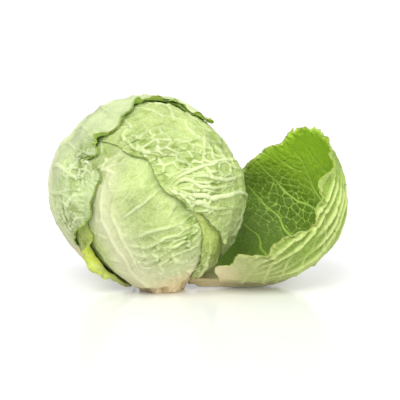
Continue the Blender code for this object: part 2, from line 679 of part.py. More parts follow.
def main():
    """Clears the scene and builds every piece of the cabbage."""
    for old in list(bpy.data.objects):
        bpy.data.objects.remove(old)
    collection = bpy.data.collections.new("cabbage_head")
    bpy.context.scene.collection.children.link(collection)
    make_stump(collection)
    make_heart(collection)
    for place, leaf in enumerate(HEAD_LEAVES):
        make_leaf(leaf, HEAD_LEAVES[:place], HEAD_LEAVES[place + 1 :], collection)
    make_leaf(OPEN_LEAF, [], [], collection)


main()
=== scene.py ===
"""The looks of a head of green cabbage with its outermost leaf folded open, on a white studio floor.

Each leaf is a fine shell in place of its coarse solid. Its outline, its ribs and the raised net between
them are drawn on a flat chart of the blade, which is wrapped on a ball about the blade's own middle, lifted
over the leaves under it, and waved and rolled along its free margin. What the shell knows of itself, such as
where its ribs are, is kept in attributes that its material reads.
"""
import math

import bmesh
import bpy
import numpy as np
from bpy.props import FloatProperty, FloatVectorProperty, PointerProperty
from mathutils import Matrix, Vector
from mathutils.geometry import delaunay_2d_cdt


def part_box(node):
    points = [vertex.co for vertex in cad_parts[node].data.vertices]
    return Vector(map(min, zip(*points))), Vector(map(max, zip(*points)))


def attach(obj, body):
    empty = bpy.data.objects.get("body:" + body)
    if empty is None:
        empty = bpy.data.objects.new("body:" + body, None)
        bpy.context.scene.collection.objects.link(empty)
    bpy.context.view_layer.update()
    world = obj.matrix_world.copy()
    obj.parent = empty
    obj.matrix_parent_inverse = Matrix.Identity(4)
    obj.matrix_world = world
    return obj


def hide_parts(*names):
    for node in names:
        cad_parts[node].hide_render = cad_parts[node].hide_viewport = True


bl_info = {
    "name": "Cabbage head",
    "version": (1, 0, 0),
    "blender": (4, 5, 0),
    "location": "View3D > Sidebar > Cabbage",
    "description": "Builds a cabbage head with one leaf folded open, and its studio stage",
    "category": "Object",
}

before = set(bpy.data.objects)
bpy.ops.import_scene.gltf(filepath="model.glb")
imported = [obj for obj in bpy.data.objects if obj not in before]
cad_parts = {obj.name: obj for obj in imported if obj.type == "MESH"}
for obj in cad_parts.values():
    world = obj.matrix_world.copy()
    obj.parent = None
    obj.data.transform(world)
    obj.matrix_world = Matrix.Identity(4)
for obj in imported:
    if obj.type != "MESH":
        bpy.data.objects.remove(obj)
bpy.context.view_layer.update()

# Form of the head and of its blades, as in the solids
HEAD_CENTRE = np.array([-0.011, 0.005, 0.092])
HEAD_RADIUS = 0.0822
HEAD_SWELLINGS = [
    (-90, 35, 40, 0.0030),
    (0, 85, 35, 0.0030),
    (70, 35, 30, -0.0035),
    (80, -25, 28, -0.0020),
    (-60, -35, 30, -0.0065),
    (0, -70, 30, 0.0020),
]
OPEN_CENTRE = np.array([0.096, 0.016, 0.0840])
OPEN_RADIUS = 0.0800
OPEN_STALK_END = np.array([0.0285, 0.0, 0.0088])
OPEN_STALK_FALL = math.radians(13.0)
OPEN_STALK_SPREAD = math.radians(16.0)
STUMP_LEAF_ANGLE = math.radians(18.5)
LEAF_STEP = 0.0043
PRESSED = 0.4
COVER_REACH = 0.008
COVER_RAMP = 0.014
ROLL_RADIUS = 0.0060
RUFFLE_ZONE = 0.026
CRINKLE_ZONE = 0.010
SETTLE_ZONE = 0.020
SETTLE_GAP = 0.0010
LIP_ZONE = 0.0038
INNER_RELIEF = 0.35
STOP_STEP = math.radians(1.6)
BASE_FLARE = 0.0065
BASE_FLARE_FALL = math.radians(6.0)
MARGIN_STEP = 0.0070
RIB_STEP = 0.0098
RIB_CLEAR = 0.0065
RIB_PAIR_STEP = 0.045
OUTLINE_BLUR = math.radians(1.3)
EVEN_BLUR = math.radians(14.0)
EVEN_MOST = 1.7
FREE_ENDS = (0.80, 0.97)
PRESS_ENDS = (0.001, 0.006)
RUFFLE_LENGTH = 0.2
OUTLINE_STEP = 0.0006
BAND_LEAST = 0.006
BAND_SPARE = 0.0035
FULL_RIB_STEP = 0.004
FAN_SPAN = (0.75, 0.45)
FAN_REACH = 0.9
FAN_LEAN = (70.0, 30.0, 4.0)
FAN_SIZE = 0.75
NET_SCATTER = 0.24
NET_ROW = 0.866
NET_CLEAR = 0.003
CELL_SCATTER = 0.38
NOISE_TABLE = 64
RIDGE_CREST = 0.6
RIDGE_FLANK = 2.6
RIM_CROWDING = 1.12
STUMP_AROUND = 240
STUMP_UP = 40
STUMP_RAISED = 0.0030
STUMP_CORE = 0.0228
STUMP_FLARE = 0.0085
STUMP_SCARS = 7
STUMP_SCAR = 0.0010
STUMP_WORN = 0.0016
WHITE = (1.0, 1.0, 1.0, 1.0)

# Layers of soft noise, each with its share, the size of its bumps and its own step of the seed
NOTCHES = ((0.25, 0.0030, 12), (0.6, 0.0075, 13), (1.1, 0.0170, 18))
CRINKLES = ((0.6, 0.0042, 14), (0.7, 0.0095, 16))
DENTS = ((1.0, 0.0130, 9), (0.5, 0.0065, 10))

# The noises of the materials, each with its scale and its detail
LEAF_PATCHES = (34.0, 4.0)
LEAF_SPECKS = (420.0, 3.0)
HEART_MOTTLE = (400.0, 4.0)
STUMP_GRAIN = (260.0, 5.0)
STUMP_PATCHES = (70.0, 4.0)
VEIN_WOBBLE = 140.0
VEIN_SHIFT = (0.0022, 0.0022, 0.0)


def unit(vector):
    """The vector, or each row of an array, at length 1."""
    return vector / np.linalg.norm(vector, axis=-1, keepdims=True)


def heading(azimuth, elevation):
    """Unit vector to an azimuth (0 to the viewer, 90 to the right) and an elevation, both in degrees."""
    azimuth, elevation = np.radians(azimuth), np.radians(elevation)
    return np.stack(
        [np.sin(azimuth) * np.cos(elevation), -np.cos(azimuth) * np.cos(elevation), np.sin(elevation)],
        axis=-1,
    )


def angle_to(way, direction):
    """Angle between each direction and the given one."""
    return np.arccos(np.clip(way @ direction, -1, 1))


def spot(way, azimuth, elevation, reach, power=2):
    """A bell about an azimuth and elevation: 1 there, and 1/e at the given reach in degrees. A higher power
    makes its top flatter and its sides steeper."""
    angle = np.degrees(angle_to(way, heading(azimuth, elevation)))
    return np.exp(-((angle / reach) ** power))


def on_circle(turn):
    """Points at each turn on the circle of radius 1."""
    return np.stack([np.cos(turn), np.sin(turn)], axis=-1)


def smooth_step(low, high, value):
    """0 below low, 1 above high, and an S-shaped rise between them."""
    share = np.clip((value - low) / (high - low), 0.0, 1.0)
    return share * share * (3.0 - 2.0 * share)


def along_line(points, step):
    """Points at about an even step along a polyline, with both its ends."""
    points = np.asarray(points, float)
    length = np.concatenate([[0.0], np.cumsum(np.linalg.norm(np.diff(points, axis=0), axis=1))])
    count = max(2, int(round(length[-1] / step)) + 1)
    at = np.linspace(0.0, length[-1], count)
    return np.stack([np.interp(at, length, points[:, k]) for k in range(points.shape[1])], axis=-1)


def rounded(points, closed=False, cuts=8):
    """A polyline through the points with its corners rounded (Catmull-Rom)."""
    points = np.asarray(points, float)
    count = len(points)
    spans = count if closed else count - 1
    t = np.linspace(0.0, 1.0, cuts, endpoint=False)[:, None]
    out = []
    for k in range(spans):
        if closed:
            a, b, c, d = (points[(k + n) % count] for n in (-1, 0, 1, 2))
        else:
            a, b, c, d = (points[min(max(k + n, 0), count - 1)] for n in (-1, 0, 1, 2))
        out.append(
            0.5 * (2 * b + (c - a) * t + (2 * a - 5 * b + 4 * c - d) * t**2 + (3 * b - a - 3 * c + d) * t**3)
        )
    if not closed:
        out.append(points[-1:])
    return np.concatenate(out)


def segment_distance(at, starts, ends, chunk=4000):
    """Distance from each point to the nearest segment, and how many segments in its nearest place lies."""
    run = ends - starts
    length = np.maximum((run * run).sum(-1), 1e-12)
    distances, places = [], []
    for first in range(0, len(at), chunk):
        gap = at[first : first + chunk, None] - starts
        share = np.clip((gap * run).sum(-1) / length, 0, 1)
        distance = np.linalg.norm(gap - share[..., None] * run, axis=-1)
        nearest = distance.argmin(axis=1)
        row = np.arange(len(nearest))
        distances.append(distance[row, nearest])
        places.append(nearest + share[row, nearest])
    return np.concatenate(distances), np.concatenate(places)


def ridge(distance, width):
    """Profile of a vein, 1 on its line: a rounded crest on two long hollow flanks."""
    crest = np.exp(-((distance / width) ** 2))
    flanks = np.exp(-distance / (RIDGE_FLANK * width))
    return RIDGE_CREST * crest + (1 - RIDGE_CREST) * flanks


def triangulate(points, edges, loop):
    """Delaunay triangles inside the loop, the first points of the list, keeping the given edges."""
    ring = [(k, (k + 1) % loop) for k in range(loop)]
    edges = ring + [(int(a), int(b)) for a, b in edges]
    found = delaunay_2d_cdt([Vector(p) for p in points.tolist()], edges, [], 1, 1e-6)
    return np.array([p[:] for p in found[0]]), [tuple(face) for face in found[2]]


def smooth_noise(flat, size, seed):
    """Soft noise from -1 to 1 at points of the plane, with bumps of about the given size: random values at
    the corners of a grid, with S-shaped steps between them."""
    table = np.random.default_rng(seed).uniform(-1, 1, (NOISE_TABLE, NOISE_TABLE))
    place = flat / size
    low = np.floor(place).astype(int)
    share = place - low
    share = share * share * (3 - 2 * share)
    i, j = low.T % NOISE_TABLE
    right, up = (i + 1) % NOISE_TABLE, (j + 1) % NOISE_TABLE
    near = table[i, j] * (1 - share[:, 0]) + table[right, j] * share[:, 0]
    far = table[i, up] * (1 - share[:, 0]) + table[right, up] * share[:, 0]
    return near * (1 - share[:, 1]) + far * share[:, 1]


def layered_noise(flat, layers, seed):
    """The sum of layers of soft noise, each with its share, its size and its step of the seed."""
    return sum(share * smooth_noise(flat, size, seed + step) for share, size, step in layers)


def warped(flat, reach, size, seed):
    """The points moved about by soft noise, so that what is drawn there wanders."""
    shift = np.stack([smooth_noise(flat, size, seed), smooth_noise(flat, size, seed + 1)], axis=-1)
    return flat + reach * shift


def cell_border(flat, size, seed):
    """Distance past the border between irregular cells of a size: 0 on a border, larger inside."""
    random = np.random.default_rng(seed).uniform(-CELL_SCATTER, CELL_SCATTER, (NOISE_TABLE, NOISE_TABLE, 2))
    low = np.floor(flat / size).astype(int)
    gaps = []
    for i in (-1, 0, 1):
        for j in (-1, 0, 1):
            cell = low + (i, j)
            middle = (cell + 0.5 + random[tuple(cell.T % NOISE_TABLE)]) * size
            gaps.append(np.linalg.norm(flat - middle, axis=1))
    gaps = np.sort(np.array(gaps), axis=0)
    return gaps[1] - gaps[0]


def head_radius(way):
    """Radius of the bare head in each direction: a ball with a few low swellings."""
    radius = np.full(way.shape[:-1], HEAD_RADIUS)
    for azimuth, elevation, reach, height in HEAD_SWELLINGS:
        radius = radius + height * spot(way, azimuth, elevation, reach)
    return radius


def at_turn(table, turn):
    """The value at each turn of a table that holds one for each degree, with straight steps between them."""
    return np.interp(np.degrees(turn) % 360, np.arange(361), np.append(table, table[0]))


def blurred(around, width):
    """Values at each degree of a full turn, blurred over about the given angle."""
    degrees = np.arange(360)
    away = np.radians(np.minimum(degrees, 360 - degrees))
    weight = np.exp(-0.5 * (away / width) ** 2)
    return np.fft.irfft(np.fft.rfft(around) * np.fft.rfft(weight / weight.sum()), 360)


class Leaf:
    """One leaf blade on its ball.

    middle is the azimuth and elevation of the blade's middle. margin holds the points of its outline, each
    an azimuth, an elevation and the angle through which the margin is rolled outwards there, all in degrees.
    ribs are lines of azimuths and elevations with a size from 0 to 1, and cell is the width of the net's
    cells. detail is the number of grid cells across the fine shell. ruffle is the height of the soft waves
    along a rolled margin, and waves how many there are in 20 cm. calm is how wrinkled the blade is all over,
    and wrinkled lists where it is more so, each an azimuth, an elevation and a reach in degrees. grain is the
    angle from the midrib, in degrees, along which the small net is drawn out, and how far. lip is the angle
    of the tight curl at the very margin, and crinkled the strength of its small waves. stalk_from is how far
    down towards the stalk the blade starts to turn pale. fade is how much a rib loses to its far end, soft
    how broad its ribs are and lowered how high, and netted how high the net stands. folds, where given, holds
    the middle, the reach and the spacing, in degrees, and the strength of a field of folds that run out from
    the stalk.
    """

    def __init__(
        self, name, middle, margin, cell, detail, ribs=None, ruffle=0.0, waves=9, seed=0, base=None,
        calm=0.5, wrinkled=(), grain=(0, 1), lip=0.3, crinkled=1.0, stalk_from=0.35,
        fade=0.85, soft=1.0, lowered=1.0, netted=1.0, folds=None,
    ):
        self.name = name
        self.cell = cell
        self.detail = detail
        self.calm = calm
        self.wrinkled = wrinkled
        self.grain = grain
        self.lip = lip
        self.crinkled = crinkled
        self.stalk_from = stalk_from
        self.fade = fade
        self.soft = soft
        self.lowered = lowered
        self.netted = netted
        self.folds = folds
        self.ruffle = ruffle
        self.waves = waves
        self.seed = seed
        self.on_head = base is None
        self.centre = HEAD_CENTRE if self.on_head else OPEN_CENTRE
        self.ball = HEAD_RADIUS if self.on_head else OPEN_RADIUS
        self.base = unit(-HEAD_CENTRE if self.on_head else base - OPEN_CENTRE)
        self.out = heading(*middle)
        self.tip = unit(self.out * (self.base @ self.out) - self.base)
        self.side = np.cross(self.out, self.tip)
        self.set_outline(np.array(margin, float))
        self.set_stop()
        lines = self.fan_of_ribs() if ribs is None else [(size, self.chart_line(line)) for size, line in ribs]
        self.full_ribs = [(size, along_line(rounded(line, cuts=6), FULL_RIB_STEP)) for size, line in lines]
        self.ribs = [(size, self.trimmed(rounded(line, cuts=4))) for size, line in lines]
        self.ribs = [(size, line) for size, line in self.ribs if len(line) > 2]
        self.set_net(np.random.default_rng(seed))

    def polar(self, way):
        """Arc from the blade's middle to a direction, and the turn there: 0 to the tip, pi to the stalk."""
        return angle_to(way, self.out), np.arctan2(way @ self.side, way @ self.tip)

    def way(self, arc, turn):
        """The direction at an arc and turn from the blade's middle."""
        around = np.cos(turn)[..., None] * self.tip + np.sin(turn)[..., None] * self.side
        return np.cos(arc)[..., None] * self.out + np.sin(arc)[..., None] * around

    def chart_line(self, line):
        """Places on the blade's flat chart of points given by azimuth and elevation."""
        line = np.array(line, float)
        arc, turn = self.polar(heading(line[:, 0], line[:, 1]))
        return self.ball * (arc[:, None] * on_circle(turn))

    def set_outline(self, margin):
        """The arc to the margin, and the margin's roll, at each degree of turn."""
        flat = rounded(np.column_stack([self.chart_line(margin[:, :2]), margin[:, 2]]), closed=True)
        flat = along_line(np.vstack([flat, flat[:1]]), OUTLINE_STEP)
        arcs = np.hypot(flat[:, 0], flat[:, 1]) / self.ball
        bins = np.degrees(np.arctan2(flat[:, 1], flat[:, 0])).round().astype(int) % 360
        reach, roll = np.full(360, np.nan), np.full(360, np.nan)
        for k in np.unique(bins):
            reach[k], roll[k] = arcs[bins == k].max(), flat[bins == k, 2].mean()
        known = np.flatnonzero(~np.isnan(reach))
        degrees = np.arange(360)
        reach = np.interp(degrees, known, reach[known], period=360)
        roll = np.interp(degrees, known, roll[known], period=360)
        self.reach = blurred(reach, OUTLINE_BLUR)
        self.rolled = np.radians(np.maximum(blurred(roll, OUTLINE_BLUR), 0.0))

    def margin_roll(self, turn):
        """Angle through which the margin is rolled outwards."""
        return at_turn(self.rolled, turn)

    def margin_arc(self, turn):
        """Arc from the middle to the margin."""
        return at_turn(self.stopped, turn)

    def set_stop(self):
        """The arc to the margin at each degree of turn, and the same blurred. A leaf on the head stops where
        the stump begins, and beside the stump it is let out by an even step."""
        self.stopped = self.reach
        if self.on_head:
            self.stopped = np.minimum(self.reach, self.stump_arc())
        self.even = blurred(self.stopped, EVEN_BLUR)

    def stump_arc(self):
        """The arc to where the stump begins, at each degree of turn, let out by an even step beside it."""
        along = self.base @ self.out
        across = -math.sqrt(1 - along**2) * np.cos(np.radians(np.arange(360)))
        nearest = np.hypot(along, across)
        meets = nearest > math.cos(STUMP_LEAF_ANGLE)
        half = np.arccos(np.where(meets, math.cos(STUMP_LEAF_ANGLE) / np.maximum(nearest, 1e-9), 1.0))
        stop = np.arctan2(across, along) - half
        stop = np.where(meets & (stop > 0), stop, math.pi)
        for _ in range(180):
            beside = np.minimum(np.roll(stop, 1), np.roll(stop, -1))
            stop = np.minimum(stop, beside + STOP_STEP)
        return stop

    def to_stalk(self, flat):
        """How far down the blade points of the chart are: 0 level with its middle, 1 at its stalk end."""
        return -flat[:, 0] / self.ball / self.reach[180]

    def inside_margin(self, flat):
        """Distance from points of the chart out to the margin, along the line from the blade's middle."""
        turn = np.arctan2(flat[..., 1], flat[..., 0])
        return self.ball * self.margin_arc(turn) - np.hypot(flat[..., 0], flat[..., 1])

    def margin_band(self, flat):
        """Width of the rolled or waved band along the margin, level with points of the chart."""
        turn = np.arctan2(flat[..., 1], flat[..., 0])
        return np.maximum(BAND_LEAST, ROLL_RADIUS * self.margin_roll(turn)) + BAND_SPARE

    def trimmed(self, line):
        """The points of a rib at an even step, as far as it lies inside the margin."""
        line = along_line(line, RIB_STEP)
        return line[self.inside_margin(line) > self.margin_band(line)]

    def cover(self, way, reach=COVER_REACH, ramp=COVER_RAMP):
        """1 over the blade and a little beyond its margin, falling smoothly to 0 further out."""
        arc, turn = self.polar(way)
        beyond = (arc - self.margin_arc(turn)) * self.ball
        return 1.0 - smooth_step(reach, reach + ramp, beyond)

    def settled(self, way, under, blade):
        """Height of the bare blade over the ball. Inside it clears the leaves under it by an even step, and
        towards its margin it sinks on to whichever of them lies on top there."""
        arc, turn = self.polar(way)
        inward = (self.margin_arc(turn) - arc) * self.ball
        even = np.zeros(arc.shape)
        top = np.zeros(arc.shape)
        for place, leaf in enumerate(under):
            even = even + LEAF_STEP * leaf.cover(way)
            above = leaf.settled(way, under[:place], blade) + blade + SETTLE_GAP
            top = np.maximum(top, above * leaf.cover(way, 0.001, 0.004))
        share = smooth_step(0.001, SETTLE_ZONE, inward)
        return top + (np.maximum(even, top) - top) * share

    def fan_of_ribs(self):
        """A midrib from the stalk to the tip, with side ribs that leave it to both sides and bend to the
        tip."""
        low = -self.ball * self.margin_arc(np.array([math.pi]))[0]
        high = self.ball * self.margin_arc(np.array([0.0]))[0]
        lines = [(1.0, np.array([[low + 0.004, 0.0], [0.8 * high, 0.0]]))]
        pairs = max(3, int(round((high - low) / RIB_PAIR_STEP)))
        first, bend, less = FAN_LEAN
        for k, start in enumerate(np.linspace(FAN_SPAN[0] * low, FAN_SPAN[1] * high, pairs)):
            for side in (-1, 1):
                reach = FAN_REACH * self.ball * self.margin_arc(np.array([side * math.pi / 2]))[0]
                lean = np.radians(first - bend * np.linspace(0.0, 1.0, 7) - less * k)
                steps = on_circle(side * lean) * reach / 5
                foot = np.array([start + 0.25 * side * self.cell, 0.0])
                lines.append((FAN_SIZE, foot + np.vstack([[0.0, 0.0], np.cumsum(steps, axis=0)])))
        return lines

    def set_net(self, random):
        """The raised net: cells of about one width, whose borders are ridges that run into the ribs."""
        turn = np.linspace(-math.pi, math.pi, 721)
        arc = self.ball * self.margin_arc(turn)
        loop = along_line(arc[:, None] * on_circle(turn), MARGIN_STEP)[:-1]
        ribs = np.vstack([line for _, line in self.ribs])
        starts = np.vstack([line[:-1] for _, line in self.ribs])
        ends = np.vstack([line[1:] for _, line in self.ribs])
        span = int(1.2 * self.ball * self.reach.max() / self.cell)
        i, j = np.meshgrid(np.arange(-span, span + 1), np.arange(-span, span + 1))
        spots = np.stack([i + 0.5 * (j % 2), NET_ROW * j], axis=-1).reshape(-1, 2) * self.cell
        spots = spots + random.uniform(-NET_SCATTER, NET_SCATTER, spots.shape) * self.cell
        spots = spots[self.inside_margin(spots) > self.margin_band(spots) + NET_CLEAR]
        spots = spots[segment_distance(spots, starts, ends)[0] > RIB_CLEAR]
        edges = []
        first = len(loop)
        for _, line in self.ribs:
            edges += [(first + k, first + k + 1) for k in range(len(line) - 1)]
            first += len(line)
        points, faces = triangulate(np.vstack([loop, ribs, spots]), edges, len(loop))
        middles = np.array([points[list(face)].mean(axis=0) for face in faces])
        shared = {}
        for number, face in enumerate(faces):
            for a, b in zip(face, face[1:] + face[:1]):
                shared.setdefault((min(a, b), max(a, b)), []).append(number)
        borders = []
        for (a, b), pair in shared.items():
            if a >= first and b >= first and len(pair) == 2:
                borders.append((middles[pair[0]], middles[pair[1]]))
        for number, face in enumerate(faces):
            others = [k for k in face if len(loop) <= k < first]
            if others and sum(k >= first for k in face) == 2:
                borders.append((middles[number], points[others[0]]))
        self.net = np.array(borders).reshape(-1, 2, 2)

    def rib_height(self, flat, width):
        """Height of the ribs, from 0 to 1: a ridge along each, thinner and lower to its far end."""
        height = np.zeros(len(flat))
        low = self.to_stalk(flat)
        for size, line in self.full_ribs:
            distance, place = segment_distance(flat, line[:-1], line[1:])
            place = place / (len(line) - 1)
            far = 1.0 - self.fade * smooth_step(0.30, 1.0, place)
            near = 1.0 if size > 0.9 else 0.5 + 0.5 * smooth_step(0.0, 0.15, place)
            broad = self.soft * width * (0.35 + 0.65 * size) * (0.55 + 0.45 * far)
            broad = broad * (1.0 + 1.3 * smooth_step(0.2, 1.0, low) * (size > 0.9))
            height = np.maximum(height, size * far * near * self.lowered * ridge(distance, broad))
        return height

    def fold_height(self, way):
        """Height of the field of folds, from 0 to 1: ridges that run out from the stalk at even steps of the
        turn about it, and wander a little."""
        azimuth, elevation, reach, spacing, strength = self.folds
        far = unit(self.out - self.base * (self.out @ self.base))
        turn = np.degrees(np.arctan2(way @ self.side, way @ far))
        place = np.stack([turn, 0.3 * np.degrees(angle_to(way, self.base))], axis=-1)
        turn = turn + 0.9 * spacing * smooth_noise(place, 4.0 * spacing, self.seed + 20)
        turn = turn + 0.30 * spacing * smooth_noise(place, 1.2 * spacing, self.seed + 22)
        off = np.abs((turn / spacing) % 1.0 - 0.5) * 2.0
        size = 0.72 + 0.85 * smooth_noise(place, 1.8 * spacing, self.seed + 21)
        size = strength * np.clip(size, 0.12, 1.15)
        return size * (1.0 - smooth_step(0.05, 0.80, off)) * spot(way, azimuth, elevation, reach, 4)

    def net_height(self, flat, width):
        """Height of the net, from 0 to 1: a ridge along each border between its cells."""
        distance, _ = segment_distance(flat, self.net[:, 0], self.net[:, 1])
        return ridge(distance, width)

    def roughness(self, way):
        """How wrinkled the blade is in each direction, from 0 to 1."""
        level = np.full(way.shape[:-1], self.calm)
        for place in self.wrinkled:
            level = np.maximum(level, spot(way, *place))
        return level

    def drawn_out(self, flat):
        """Places of the chart pressed together along the grain, so that what is drawn there is long."""
        angle, stretch = math.radians(self.grain[0]), self.grain[1]
        along = flat[:, 0] * math.cos(angle) + flat[:, 1] * math.sin(angle)
        across = flat[:, 1] * math.cos(angle) - flat[:, 0] * math.sin(angle)
        return np.stack([along / stretch, across], axis=-1)

    def small_net(self, flat, sizes):
        """Height of the small net, from 0 to 1: a ridge along the borders of cells drawn out along the
        grain."""
        place = warped(self.drawn_out(flat), 0.0024, 0.010, self.seed + 7)
        return ridge(cell_border(place, sizes.small_cell, self.seed), sizes.small_width)

    def pits(self, flat, sizes):
        """Depth of the dents in the wrinkles, from 0 to 1: the high places of soft noise, drawn out
        along the grain. The material darkens them with painted shade."""
        place = self.drawn_out(flat)
        layers = ((1.0, sizes.pit_width, 17), (0.5, 0.45 * sizes.pit_width, 19))
        return smooth_step(0.10, 0.75, layered_noise(place, layers, self.seed))

    def rolled_margin(self, inward, edge, roll, lip):
        """Arc and lift of a blade whose margin is rolled out: a wide bend, then a tight one in the last lip.

        Both bends are circle arcs, run through from the blade outwards by the distance from the margin.
        """
        zone = np.maximum(ROLL_RADIUS * roll, LIP_ZONE)
        wide = np.where(ROLL_RADIUS * roll > LIP_ZONE, 1.0 / ROLL_RADIUS, 0.0)
        bend = np.where(wide > 0, np.clip(zone - inward, 0.0, zone - LIP_ZONE) * wide, 0.0)
        along = np.where(wide > 0, ROLL_RADIUS * np.sin(bend), 0.0)
        lift = ROLL_RADIUS * (1.0 - np.cos(bend))
        tight = wide + np.maximum(lip, 0.02) / LIP_ZONE
        more = np.clip(LIP_ZONE - inward, 0.0, LIP_ZONE)
        along = along + (np.sin(bend + more * tight) - np.sin(bend)) / tight
        lift = lift + (np.cos(bend) - np.cos(bend + more * tight)) / tight
        start = np.maximum(edge * self.ball - zone, 0.0)
        arc = np.where(inward < zone, (start + along) / self.ball, edge - inward / self.ball)
        return arc, lift

    def waved_margin(self, spots, over, sizes):
        """Arc and lift of each spot with the margin rolled, curled, notched and crinkled, how free the margin
        is there, from 0 under another leaf or at the stalk to 1, and how bare the blade itself is."""
        turn, edge, inside, inward, flat = spots
        around = self.ball * edge[:, None] * on_circle(turn)
        free, bare = np.ones(len(flat)), np.ones(len(flat))
        for leaf in over:
            free = free * (1.0 - leaf.cover(self.way(edge, turn)))
            bare = bare * (1.0 - leaf.cover(self.way(inside, turn), *PRESS_ENDS))
        roll = self.margin_roll(turn) * free
        free = free * (1.0 - smooth_step(*FREE_ENDS, -np.cos(turn) * edge / self.reach[180]))
        uneven = 0.5 + 0.5 * smooth_noise(around, 0.012, self.seed + 11)
        arc, lift = self.rolled_margin(inward, edge, roll, self.lip * free * (0.25 + 1.1 * uneven))
        near = 1.0 - smooth_step(0.0, CRINKLE_ZONE, inward)
        depth = sizes.ragged * (0.5 + 0.4 * self.crinkled) / self.ball
        arc = arc + free * depth * layered_noise(around, NOTCHES, self.seed) * near
        crinkle = 0.5 + layered_noise(around, CRINKLES, self.seed)
        crinkle = np.maximum(crinkle + 0.5 * smooth_noise(flat, 0.0036, self.seed + 15), -0.2)
        lift = lift + sizes.crinkle * self.crinkled * crinkle * free * near * (0.3 + 1.4 * uneven)
        wave = 0.5 + 0.6 * smooth_noise(around, RUFFLE_LENGTH / self.waves, self.seed + 23)
        rolled = smooth_step(0.0, 0.6, roll)
        lift = lift + self.ruffle * wave * rolled * (1.0 - smooth_step(0.0, RUFFLE_ZONE, inward))
        return arc, lift, free, bare

    def relief(self, spots, way, bare, sizes):
        """Lift of the inner face, thickness of the blade, and what the material needs to know.

        The relief is the highest of the ribs and the net, with the small net and the dents added and the
        pits taken off. The folds stand on the outer face alone. All of it is lower where a leaf lies on it.
        """
        inward, flat = spots[3:]
        rough = self.roughness(way)
        wandering = warped(flat, 0.0018, 0.011, self.seed)
        fade_out = smooth_step(0.0, 0.007, inward)
        ribs = self.rib_height(wandering, sizes.rib_width)
        net = self.netted * self.net_height(wandering, sizes.net_width) * (0.45 + 0.55 * rough)
        small = self.small_net(flat, sizes) * rough
        dents = layered_noise(flat, DENTS, self.seed)
        press = (PRESSED + (1.0 - PRESSED) * bare) * (0.15 + 0.85 * fade_out)
        folds = self.fold_height(way) if self.folds else np.zeros(len(flat))
        veins = np.maximum(ribs, sizes.net_share * net)
        proud = np.maximum(veins, folds)
        pits = self.pits(flat, sizes) * rough * (1.0 - smooth_step(0.20, 0.65, proud)) * fade_out
        relief = sizes.rib_relief * (veins + sizes.small_share * small * (1.0 - 0.6 * proud))
        relief = relief + sizes.crumple * dents * (0.35 + 0.65 * rough) - sizes.pit_depth * pits
        relief = np.maximum(relief * press + sizes.crumple * rough * fade_out, -0.4 * sizes.blade)
        thickness = sizes.blade + (1.0 - INNER_RELIEF) * relief
        thickness = thickness + sizes.rib_relief * (proud - veins) * press
        # The depth of the pits also goes to the material as the mask of its painted shade.
        facts = {"rib": ribs, "fold": folds, "net": np.maximum(net, 0.8 * small), "rough": rough, "painted_pit_shade": pits}
        return INNER_RELIEF * relief, thickness, facts

    def shell(self, cells, sizes, under, over):
        """The fine shell as grids of inner and outer points, with what its material needs to know of them.

        The inner face is the ball's, lifted by the leaves under it and rolled at its margin. The outer face
        lies off it along its normal by the blade's thickness and most of the relief of its veins. The grid's
        own outline is even in the middle of the blade and becomes the true one towards the margin.
        """
        reach, turn = disc_grid(cells)
        shape = reach.shape
        reach, turn = reach.ravel(), turn.ravel()
        edge = self.margin_arc(turn)
        even = np.minimum(at_turn(self.even, turn), EVEN_MOST * edge)
        inside = reach * (even + (edge - even) * reach)
        inward = (edge - inside) * self.ball
        flat = self.ball * inside[:, None] * on_circle(turn)
        spots = turn, edge, inside, inward, flat
        arc, lift, free, bare = self.waved_margin(spots, over, sizes)
        way = self.way(arc, turn)
        relief, thickness, facts = self.relief(spots, way, bare, sizes)
        low = self.to_stalk(flat)
        if self.on_head:
            to_base = angle_to(way, self.base) - STUMP_LEAF_ANGLE
            lift = lift + relief + self.settled(way, under, sizes.blade)
            lift = lift + BASE_FLARE * np.exp(-np.maximum(to_base, 0.0) / BASE_FLARE_FALL)
            points = self.centre + way * (head_radius(way) + lift)[:, None]
        else:
            stretch = np.linalg.norm(OPEN_STALK_END - OPEN_CENTRE) - OPEN_RADIUS
            past = -arc * np.cos(turn) - self.reach[180]
            radius = OPEN_RADIUS + stretch * np.exp(past / OPEN_STALK_FALL)
            points = self.centre + way * (radius + lift + relief)[:, None]
            points = points - smooth_step(0.80, 1.0, low)[:, None] * (sizes.neck_reach, 0.0, 0.0)
            across = flat[:, 1] / self.ball / OPEN_STALK_SPREAD
            thick = (sizes.stalk - sizes.blade) * smooth_step(0.1, 1.0, low)
            thickness = thickness + thick * np.exp(-(across**2))
        points = points.reshape(*shape, 3)
        normals = unit(np.cross(np.gradient(points, axis=0), np.gradient(points, axis=1)))
        if (normals * way.reshape(*shape, 3)).sum() < 0:
            normals = -normals
        outer = points + normals * thickness.reshape(shape)[..., None]
        facts["edge"] = inward * 1000.0
        facts["free"] = free
        facts["stalk"] = smooth_step(self.stalk_from, 1.0, low)
        # How near the tip a point is; the material paints light on the open leaf's inner face there.
        facts["tip"] = smooth_step(0.10, 0.75, flat[:, 0] / self.ball / self.reach[0])
        return points, outer, facts, flat


def disc_grid(cells):
    """A square grid bent into a disc: the share of the way to the rim, and the turn, of each grid point. The
    points stand a little closer near the rim."""
    line = np.linspace(-1.0, 1.0, cells + 1)
    u, v = np.meshgrid(line, line, indexing="ij")
    wide = np.abs(u) >= np.abs(v)
    long, short = np.where(wide, u, v), np.where(wide, v, u)
    angle = 0.25 * math.pi * short / np.where(long == 0, 1.0, long)
    angle = np.where(wide, angle, 0.5 * math.pi - angle)
    reach = 1.0 - (1.0 - np.abs(long)) ** RIM_CROWDING
    return reach, np.arctan2(long * np.sin(angle), long * np.cos(angle))


